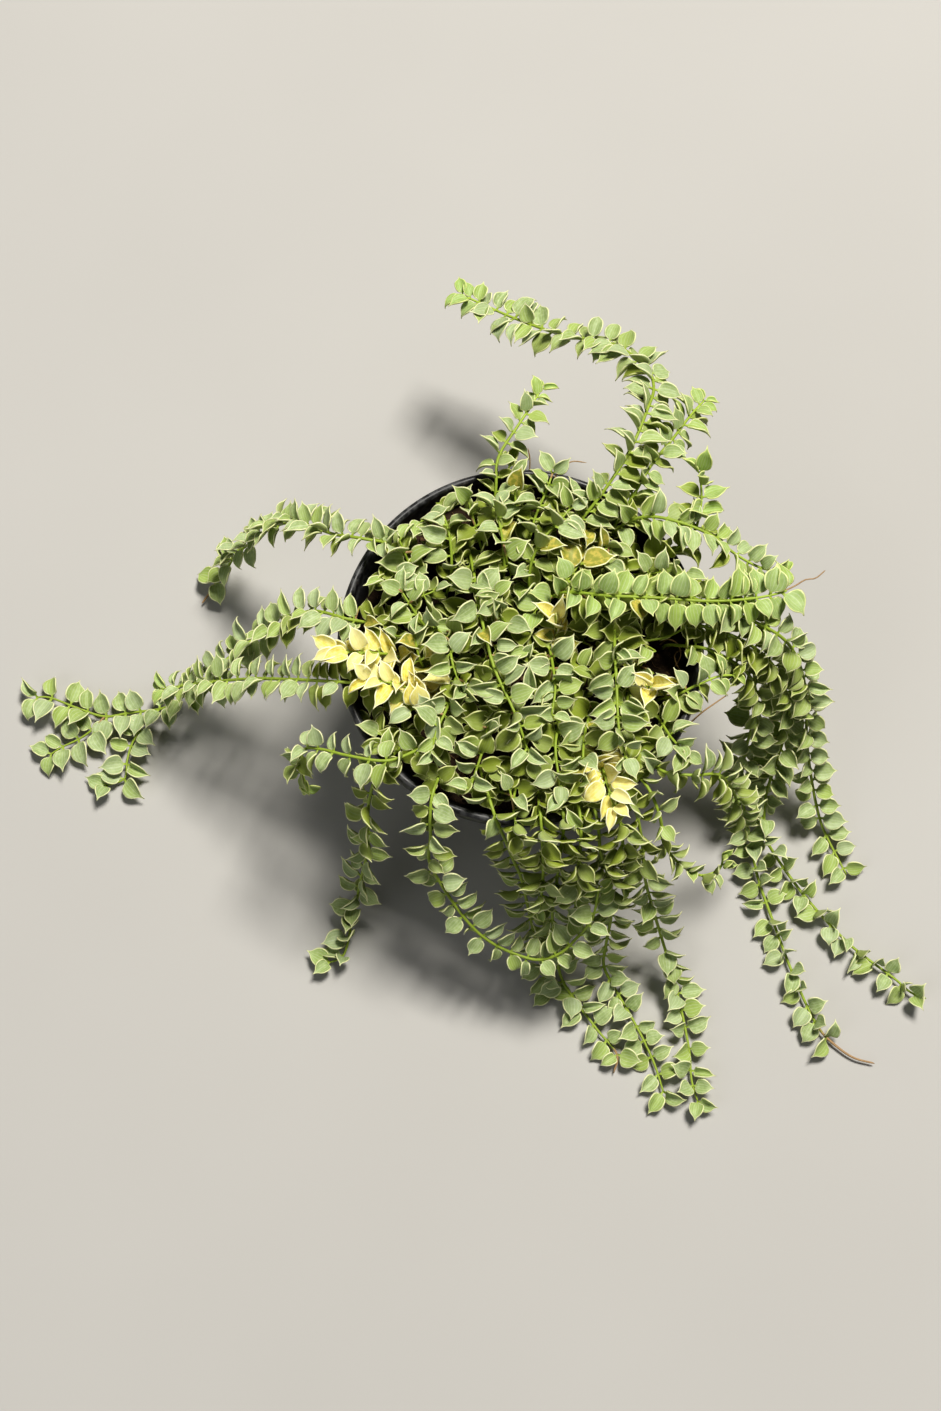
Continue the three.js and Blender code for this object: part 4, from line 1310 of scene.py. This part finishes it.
# %% Faded faces
golden = leaf.blend(leaf.ramp(mottle, 0.4, 0.65), (0.29, 0.31, 0.05, 1), (0.57, 0.48, 0.10, 1))
cream_yellow = leaf.blend(leaf.ramp(mottle, 0.3, 0.7), (0.72, 0.61, 0.09, 1), (0.85, 0.79, 0.29, 1))
cream_yellow = leaf.blend(leaf.ramp(chance, 0.45, 1.0) * 0.7, cream_yellow, (0.88, 0.82, 0.42, 1))
cream_yellow = leaf.blend(leaf.ramp(veins, 0.45, 1.0) * 0.3, cream_yellow, (0.92, 0.88, 0.50, 1))
face = leaf.blend(leaf.ramp(fading, 0.15, 0.5), face, golden)
face = leaf.blend(leaf.ramp(fading, 0.55, 0.95), face, cream_yellow)
print("nodes with the faded faces:", len(leaf.tree.nodes))

# %% [markdown]
# ## Rim, stalk and skin
# What makes the plant variegated is a thin cream cord along the rim of each leaf. It isn't quite even, so
# a little noise is added to the distance before the threshold. The stalk is plain green. At last the meal
# and the cord also roughen the skin and raise it a little.

# %% Leaf rim and skin
ragged = rim_distance + (leaf.cloud(1.1, 1) - 0.5) * 0.35
rim = 1 - leaf.ramp(ragged, 0.24, 0.52)
cream = leaf.blend(leaf.ramp(youth, 0.1, 0.9), (0.71, 0.725, 0.43, 1), (0.66, 0.72, 0.27, 1))
# painted shade: under other leaves the cream rim darkens as well
cream = leaf.blend(painted_shade * 0.6, cream, (0.52, 0.55, 0.17, 1))
cream = leaf.blend(leaf.ramp(fading, 0.3, 0.8), cream, (0.94, 0.91, 0.60, 1))
skin = leaf.blend(rim, face, cream)
stalk = 1 - leaf.ramp(leaf_along, 0.10, 0.17)
skin = leaf.blend(stalk, skin, (0.34, 0.44, 0.07, 1))
leaf_roughness = 0.46 + 0.16 * meal - 0.06 * rim
leaf_relief = leaf.relief(meal * 0.4 + rim * 0.6 + mottle * 0.3, 0.25, 0.5)
leaf_material = leaf.feed(Base_Color=skin, Roughness=leaf_roughness, Normal=leaf_relief)
print("nodes in the leaf's finish:", len(leaf.tree.nodes))

# %% [markdown]
# ## The stem's finish
# Stems are smooth and bright yellow green, duller and browner where they are old, near the soil. A few
# ends have dried to a tan thread. One even green would do from afar, but streaks and a brown foot make a
# stem look grown. `growth` holds the distance from the foot, youth and dryness.

# %% Stem finish
bark = Finish("green_stem", Specular_IOR_Level=0.4)
stem_youth = bark.attribute("growth", "Y")
dryness = bark.attribute("growth", "Z")
streaks = bark.cloud(1.6, 3)
green = bark.blend(streaks, (0.21, 0.29, 0.03, 1), (0.36, 0.47, 0.06, 1))
green = bark.blend(bark.ramp(stem_youth, 0.2, 1.0), green, (0.40, 0.53, 0.08, 1))
tan = bark.blend(bark.cloud(0.8, 2), (0.21, 0.115, 0.05, 1), (0.52, 0.35, 0.18, 1))
stem_colour = bark.blend(bark.ramp(dryness + streaks * 0.3, 0.45, 0.75), green, tan)
stem_relief = bark.relief(streaks, 0.3, 0.6)
stem_material = bark.feed(Base_Color=stem_colour, Roughness=0.4 + streaks * 0.25, Normal=stem_relief)
print("nodes in the stem's finish:", len(bark.tree.nodes))

# %% [markdown]
# ## Stem tubes
# A stem is a thin tube with eight sides that gets a little thinner towards the tip. Rings are placed
# every two millimetres. Its youngest end is the freshest green, the stretch near the soil is brown, and a
# dry tip is tan. A curve object with a bevel would give the same tube, but a tube from arrays carries its
# numbers for the finish, and joins its leaves in one mesh.

# %% Tubes
STEM_SIDES = 8
TIP_THINNING, THIN_STRETCH = 0.38, 25  # a share of the radius, and the millimetres that it works over
YOUNG_STEM = 40  # millimetres over which youth fades from the tip
OLD_STEM = 18  # millimetres over which brown fades from the foot


def tube(curve, radii, sides):
    """Corners of a round tube along a curve: rings x sides x 3."""
    tangents = unit(np.gradient(curve, axis=0))
    across = unit(np.cross(tangents, (0.31, 0.17, 1.0)))
    above = np.cross(across, tangents)
    angles = np.arange(sides) * 2 * math.pi / sides
    circle = np.cos(angles)[None, :, None] * across[:, None] + np.sin(angles)[None, :, None] * above[:, None]
    return curve[:, None] + circle * radii[:, None, None]


def stem_tube(curve, tip_youth, radius, dry_tip):
    """Corners, faces and growth numbers of one stem."""
    keep = np.unique(np.concatenate([np.arange(0, len(curve), 2), [len(curve) - 1]]))
    points = curve[keep]
    from_foot = np.linspace(0, len(curve), len(points))
    from_tip = len(curve) - from_foot
    radii = radius * (1 - TIP_THINNING * np.exp(-from_tip / THIN_STRETCH))
    radii[-1] *= 0.4
    corners = tube(points, radii, STEM_SIDES)
    youth_here = tip_youth * np.exp(-from_tip / YOUNG_STEM)
    dry_here = np.clip(0.75 - from_foot / OLD_STEM, 0, 1)
    if dry_tip:
        dry_here = np.maximum(dry_here, np.clip(1.6 - from_tip / dry_tip, 0, 1))
    growth = np.stack([from_foot, youth_here, dry_here], 1)
    growth = np.repeat(growth[:, None], STEM_SIDES, 1).reshape(-1, 3)
    return corners.reshape(-1, 3), ring_quads(len(points), STEM_SIDES), growth


print("corners of the first stem:", len(stem_tube(*stems[0].tubes[0])[0]))

# %% [markdown]
# ## All leaves of a stem at once
# The traits that were settled now shape the full leaves, with all their rings and corners. A leaf that
# would reach into the floor is lifted onto it. Each corner gets its numbers for the finish.


# %% Leaf parts
def leaf_parts(stem):
    """Corners, faces and numbers of all leaves of one stem."""
    leaves = shape_leaves(np.array(stem.traits), np.array(stem.roots), np.array(stem.frames),
                          LEAF_RINGS, LEAF_COLUMNS)
    count, rings, columns = leaves.shape[:3]
    per_leaf = rings * columns
    sunk = 0.2 - leaves[..., 2].min(axis=(1, 2))
    leaves[..., 2] += np.maximum(sunk, 0)[:, None, None]
    starts = np.arange(count)[:, None, None] * per_leaf
    quads = (ring_quads(rings, columns)[None] + starts).reshape(-1, 4)
    along = np.repeat(LEAF_RINGS[:, 0:1], columns, 1)
    across = np.repeat(LEAF_COLUMNS[None, :, 0], rings, 0)
    blade = np.stack([along, across, RIM_DISTANCE], -1).reshape(1, -1, 3)
    below = np.tile((LEAF_COLUMNS[:, 1] < 0) * 1.0, rings * count)
    shade = np.repeat(stem.shades, per_leaf)
    numbers = {
        "blade": np.repeat(blade, count, 0).reshape(-1, 3),
        "nature": np.repeat(np.array(stem.natures), per_leaf, 0),
        "side_and_painted_shade": np.stack([below, shade, 0 * shade], 1),
        "growth": np.zeros((count * per_leaf, 3)),
    }
    return leaves.reshape(-1, 3), quads, numbers


print("faces in the leaves of the first stem:", len(leaf_parts(stems[0])[1]))

# %% [markdown]
# ## One piece for each stem
# The leaves, stalks and tubes of one CAD node become one piece with two finishes. It rides on the same
# body and takes the node's place.


# %% Pieces
def tube_parts(strand):
    """Corners, faces and numbers of one stem, branch or thread."""
    corners, quads, growth = stem_tube(*strand)
    nothing = np.zeros_like(growth)
    return corners, quads, {"blade": nothing, "nature": nothing, "side_and_painted_shade": nothing, "growth": growth}


def build_stem(stem):
    """Writes the finished piece of one stem and counts its triangles."""
    parts = [leaf_parts(stem)] + [tube_parts(strand) for strand in stem.tubes]
    corners = []
    quads = []
    finish_of_quad = []
    written = 0
    for number, (part_corners, part_quads, _) in enumerate(parts):
        corners.append(part_corners)
        quads.append(part_quads + written)
        finish_of_quad.append(np.full(len(part_quads), 0 if number == 0 else 1))
        written += len(part_corners)
    labels = ("blade", "nature", "side_and_painted_shade", "growth")
    attributes = {label: np.vstack([numbers[label] for _, _, numbers in parts]) for label in labels}
    piece = write_piece(stem.name + "_leafy", np.vstack(corners), np.vstack(quads),
                        np.concatenate(finish_of_quad), attributes, [leaf_material, stem_material])
    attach(piece, "root")
    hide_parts(stem.name)
    return 2 * sum(map(len, quads))


triangles = [build_stem(stem) for stem in stems]
print("stem pieces:", len(triangles), "triangles:", sum(triangles), "largest:", max(triangles))

# %% [markdown]
# ## The pot's finish
# The pot is thin black plastic, formed in a mould. New it is glossy; here it has a dull sheen, fine lines
# down the wall from the mould, soil dust, and lighter grey streaks on the lip, partly wear from handling
# and partly a painted sheen. Plain black would hide the pot's form, and those small differences bring it
# out. The mould lines are a cloud that is stretched far along the height.

# %% Pot finish
MOULD_STRETCH = (1, 1, 0.04)
LIP_BAND_FROM, LIP_BAND_FULL = 113, 118  # heights in millimetres
plastic = Finish("black_pot_plastic", Specular_IOR_Level=0.5)
rubs = plastic.cloud(14, 4)
fine = plastic.cloud(0.6, 2)
flattened = plastic.node("ShaderNodeVectorMath", {"operation": "MULTIPLY"},
                         {0: plastic.place_mm(), 1: MOULD_STRETCH})
mould_lines = plastic.cloud(1.6, 3, flattened)
height_mm = plastic.node("ShaderNodeSeparateXYZ", None, {0: plastic.place_mm()}, "Z")
lip_band = plastic.ramp(height_mm, LIP_BAND_FROM, LIP_BAND_FULL)
# streaks on the lip: partly wear from handling, partly a painted sheen
lip_wear_and_painted_sheen = lip_band * plastic.ramp(plastic.cloud(3.5, 5), 0.42, 0.62)
dust = plastic.ramp(plastic.cloud(6, 5), 0.58, 0.8) * 0.35
black = plastic.blend(rubs, (0.010, 0.010, 0.011, 1), (0.024, 0.024, 0.026, 1))
black = plastic.blend(plastic.ramp(mould_lines, 0.5, 0.75) * 0.5, black, (0.038, 0.038, 0.040, 1))
# lighter grey on the lip: wear and painted sheen together
black = plastic.blend(lip_wear_and_painted_sheen * 0.75, black, (0.085, 0.086, 0.088, 1))
pot_colour = plastic.blend(dust, black, (0.12, 0.085, 0.055, 1))
pot_roughness = 0.30 + rubs * 0.18 + lip_wear_and_painted_sheen * 0.12 + dust * 0.4
pot_relief = plastic.relief(fine * 0.4 + mould_lines * 0.5 + rubs, 0.12, 0.5)
pot_material = plastic.feed(Base_Color=pot_colour, Roughness=pot_roughness, Normal=pot_relief)
print("nodes in the pot's finish:", len(plastic.tree.nodes))

# %% [markdown]
# ## The pot
# The pot is turned like a bowl on a lathe: one profile goes round the axis. The profile is the CAD
# model's, with rounder edges on the rolled lip and two shallow steps in the wall where stacked pots rest.
# Each pair of numbers is a radius and a height, from the middle of the foot up the outside, over the lip
# and down the inside.

# %% Lathe
POT_PROFILE = [
    (0.0, 0.0), (63.8, 0.0), (65.2, 0.25), (66.0, 0.9), (66.35, 1.8),
    (72.6, 40.0), (72.35, 40.6), (72.5, 41.4),
    (79.5, 82.0), (79.25, 82.6), (79.4, 83.4),
    (85.6, 114.2), (86.0, 115.0), (87.5, 114.9), (89.0, 115.1), (89.8, 115.9), (90.0, 117.0), (89.9, 119.5),
    (90.0, 122.6), (89.7, 124.0), (88.9, 124.8), (87.8, 125.0), (86.9, 124.7), (86.3, 124.0), (86.0, 122.8),
    (85.6, 118.5), (84.2, 115.0),
    (64.6, 2.6), (64.0, 2.2), (0.0, 2.2),
]
POT_SIDES = 144


def lathe(profile, sides):
    """A closed bmesh turned about the Z axis from points (radius, height) in millimetres."""
    made = bmesh.new()
    rings = []
    for radius, height in profile:
        if radius == 0:
            rings.append([made.verts.new((0, 0, height * MM))])
            continue
        turns = [2 * math.pi * i / sides for i in range(sides)]
        rings.append([made.verts.new((radius * math.cos(a) * MM, radius * math.sin(a) * MM, height * MM))
                      for a in turns])
    for lower, upper in zip(rings, rings[1:]):
        for i in range(sides):
            j = (i + 1) % sides
            corners = [lower[i % len(lower)], lower[j % len(lower)],
                       upper[j % len(upper)], upper[i % len(upper)]]
            made.faces.new(list(dict.fromkeys(corners)))
    bmesh.ops.recalc_face_normals(made, faces=made.faces)
    return made


def object_from(made, name, material):
    """An object at the origin that takes over the bmesh."""
    mesh = bpy.data.meshes.new(name)
    made.to_mesh(mesh)
    made.free()
    mesh.materials.append(material)
    piece = bpy.data.objects.new(name, mesh)
    bpy.context.scene.collection.objects.link(piece)
    return piece


pot = object_from(lathe(POT_PROFILE, POT_SIDES), "nursery_pot", pot_material)
print("faces of the turned pot:", len(pot.data.polygons))

# %% [markdown]
# ## Drain holes
# Eight round holes let the water out through the flat floor. They are cut as a drill would cut them:
# eight short rods are taken away from the pot, and the result is kept as a plain mesh. Then the walls are
# smoothed, and only the real edges stay sharp.

# %% Drain holes
DRAIN_COUNT = 8
DRAIN_RADIUS = 4
DRAIN_CIRCLE = 48  # radius of the circle that the holes stand on
drains = bmesh.new()
for i in range(DRAIN_COUNT):
    angle = (i + 0.5) * 2 * math.pi / DRAIN_COUNT
    spot = Vector((DRAIN_CIRCLE * math.cos(angle), DRAIN_CIRCLE * math.sin(angle), 1)) * MM
    drill = bmesh.ops.create_cone(drains, cap_ends=True, segments=24, radius1=DRAIN_RADIUS * MM,
                                  radius2=DRAIN_RADIUS * MM, depth=8 * MM)
    bmesh.ops.translate(drains, verts=drill["verts"], vec=spot)
drill_piece = object_from(drains, "drain_drills", pot_material)
cut = pot.modifiers.new("drains", "BOOLEAN")
cut.operation = "DIFFERENCE"
cut.object = drill_piece
bpy.context.view_layer.update()
drilled = bpy.data.meshes.new_from_object(pot.evaluated_get(bpy.context.evaluated_depsgraph_get()))
pot.modifiers.clear()
pot.data = drilled
bpy.data.objects.remove(drill_piece)
pot.data.shade_smooth()
pot.data.set_sharp_from_angle(angle=math.radians(40))
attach(pot, "root")
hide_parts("pot")
print("faces of the drilled pot:", len(pot.data.polygons))

# %% [markdown]
# ## The finish of the potting mix
# Coir and bark are dark, with a lighter chip here and there. Small crumbs and larger clods are mixed from
# two clouds. The number `tone` is stored with the corners, and makes each chip and fibre lighter by its
# own share.

# %% Soil finish
mix = Finish("coir_and_bark", Specular_IOR_Level=0.25)
crumbs = mix.cloud(1.2, 4)
clods = mix.cloud(5, 3)
tone = mix.attribute("tone", "X")
dark = mix.blend(crumbs, (0.014, 0.009, 0.006, 1), (0.088, 0.052, 0.029, 1))
brown = mix.blend(clods, dark, (0.044, 0.026, 0.015, 1))
coir = mix.blend(crumbs, (0.13, 0.07, 0.03, 1), (0.36, 0.23, 0.12, 1))
mix_colour = mix.blend(tone, brown, coir)
mix_relief = mix.relief(crumbs + clods * 0.5, 0.9, 0.9)
mix_material = mix.feed(Base_Color=mix_colour, Roughness=0.82 + crumbs * 0.15, Normal=mix_relief)
print("nodes in the soil's finish:", len(mix.tree.nodes))

# %% [markdown]
# ## The potting mix
# The mix is never level. The body keeps the CAD model's dome, and its surface is roughened with lumps of
# two sizes. A square grid could be pushed up and down as well, but rings fit the round pot and close into
# a solid body. Rings of corners run outwards from the middle, closer together near the wall, where the
# surface is seen. Two more rings close the body below.


# %% Potting mix
def crumbled(x, y):
    """The soil's height with lumps of two sizes, as the finished surface has it."""
    coarse = noise.noise(Vector((x * 0.22, y * 0.22, 1.7)))
    small = noise.noise(Vector((x * 0.9, y * 0.9, 9.1)))
    return float(soil_height(x, y)) + 0.9 * coarse + 0.55 * small


SOIL_RINGS = 62
SOIL_SIDES = 200
SOIL_FLOOR = 2.5
MIDDLE = 0.4  # radius of the innermost ring
edge = wall_radius(SOIL_LEVEL) - WALL - SEAT_GAP
foot_edge = wall_radius(SOIL_FLOOR) - WALL - SEAT_GAP
soil_corners = []
for ring in range(SOIL_RINGS + 1):
    radius = edge * (ring / SOIL_RINGS) ** 0.8 if ring else MIDDLE
    for side in range(SOIL_SIDES):
        angle = 2 * math.pi * side / SOIL_SIDES
        x, y = radius * math.cos(angle), radius * math.sin(angle)
        soil_corners.append((x, y, crumbled(x, y)))
for radius in (foot_edge, MIDDLE):
    for side in range(SOIL_SIDES):
        angle = 2 * math.pi * side / SOIL_SIDES
        soil_corners.append((radius * math.cos(angle), radius * math.sin(angle), SOIL_FLOOR))
soil_quads = ring_quads(SOIL_RINGS + 3, SOIL_SIDES)
print("soil corners:", len(soil_corners))

# %% [markdown]
# ## Bark chips
# Bark chips lie on the mix and are half buried in it. Each is a small box with its corners pulled about,
# turned and tilted at random. Copies of one chip would be quicker, but these are so few that each can
# have a shape of its own. Three lists gather the corners, faces and tones of all loose bits, and `offset`
# counts the corners that came before.

# %% Bark chips
CHIP_COUNT = 420
BOX_CORNERS = np.array([(x, y, z) for x in (-1, 1) for y in (-1, 1) for z in (-1, 1)], float)
BOX_QUADS = np.array([(0, 1, 3, 2), (4, 6, 7, 5), (0, 4, 5, 1), (2, 3, 7, 6), (0, 2, 6, 4), (1, 5, 7, 3)])
bit_corners, bit_quads, bit_tones = [], [], []
offset = len(soil_corners)
for _ in range(CHIP_COUNT):
    angle, radius = random.uniform(0, 2 * math.pi), edge * math.sqrt(random.uniform(0, 0.97))
    x, y = radius * math.cos(angle), radius * math.sin(angle)
    size = np.array([random.uniform(0.8, 2.6), random.uniform(0.5, 1.3), random.uniform(0.2, 0.55)])
    corners = BOX_CORNERS * size * random.uniform(0.65, 1.15, (8, 3))
    spin, tilt = random.uniform(0, 6.28), random.normal(0, 0.35)
    along = np.array([math.cos(spin), math.sin(spin), math.sin(tilt)])
    across = unit(np.cross((0, 0, 1.0), along))
    axes = np.stack([unit(along), across, np.cross(unit(along), across)])
    height = crumbled(x, y) + random.uniform(-0.1, 0.5)
    bit_corners.append(corners @ axes + np.array([x, y, height]))
    bit_quads.append(BOX_QUADS + offset)
    bit_tones.append(np.full(8, random.uniform(0.05, 0.8)))
    offset += 8
print("bark chips:", CHIP_COUNT)

# %% [markdown]
# ## Loose fibres
# Coir sheds fine fibres. Each wanders over the surface in short steps, changes its heading a little at
# every step, and humps up between its two ends. Near the wall it is held back, so that it stays in the
# pot.

# %% Loose fibres
FIBRE_COUNT = 320
FIBRE_POINTS = 7
FIBRE_STEP = 1.5
FIBRE_SIDES = 4
for _ in range(FIBRE_COUNT):
    angle, radius = random.uniform(0, 2 * math.pi), (edge - 4) * math.sqrt(random.uniform(0, 1))
    x, y = radius * math.cos(angle), radius * math.sin(angle)
    heading = random.uniform(0, 6.28)
    points = []
    for step in range(FIBRE_POINTS):
        inside = min(1.0, (edge - 1.5) / max(math.hypot(x, y), 1e-6))
        x, y = x * inside, y * inside
        hump = 0.25 + 0.9 * math.sin(math.pi * step / (FIBRE_POINTS - 1)) * random.uniform(0.3, 1.0)
        points.append((x, y, crumbled(x, y) + hump))
        heading += random.normal(0, 0.45)
        x, y = x + FIBRE_STEP * math.cos(heading), y + FIBRE_STEP * math.sin(heading)
    radii = np.full(FIBRE_POINTS, random.uniform(0.09, 0.2))
    fibre = tube(np.array(points), radii, FIBRE_SIDES).reshape(-1, 3)
    bit_corners.append(fibre)
    bit_quads.append(ring_quads(FIBRE_POINTS, FIBRE_SIDES) + offset)
    bit_tones.append(np.full(len(fibre), random.uniform(0.5, 1.0)))
    offset += len(fibre)
print("loose fibres:", FIBRE_COUNT)

# %% [markdown]
# ## The mix as one piece
# The body and all loose bits are written as one piece, because the CAD model has one solid for them. The
# body's own tone is nought, which is the dark brown of the finish.

# %% Write the mix
all_corners = np.vstack([np.array(soil_corners), *bit_corners])
all_quads = np.vstack([soil_quads, *bit_quads])
tones = np.concatenate([np.zeros(len(soil_corners)), *bit_tones])
tone_rows = np.stack([tones, tones, tones], 1)
soil = write_piece("potting_mix", all_corners, all_quads, np.zeros(len(all_quads), int),
                   {"tone": tone_rows}, [mix_material])
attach(soil, "root")
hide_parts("soil")
print("triangles in the potting mix:", 2 * len(all_quads))

# %% [markdown]
# ## The floor
# The plant stands on a plain pale floor, wide enough to fill the view from above. A very faint cloud
# keeps it from looking like a void.

# %% Floor
paper = Finish("pale_floor", Specular_IOR_Level=0.2, Roughness=0.75)
unevenness = paper.cloud(180, 2)
floor_colour = paper.blend(unevenness, (0.46, 0.45, 0.43, 1), (0.49, 0.48, 0.46, 1))
floor_material = paper.feed(Base_Color=floor_colour)
FLOOR_HALF = 15  # metres
floor_corners = [(x * FLOOR_HALF, y * FLOOR_HALF, 0) for x, y in ((-1, -1), (1, -1), (1, 1), (-1, 1))]
floor_mesh = bpy.data.meshes.new("floor")
floor_mesh.from_pydata(floor_corners, [], [(0, 1, 2, 3)])
floor_mesh.materials.append(floor_material)
floor = bpy.data.objects.new("floor", floor_mesh)
bpy.context.scene.collection.objects.link(floor)
print("the floor is", 2 * FLOOR_HALF, "metres wide")

# %% [markdown]
# ## Bringing the scene up to date
# At the end the scene is brought up to date, with every piece in its place.

# %% Update the scene
bpy.context.view_layer.update()
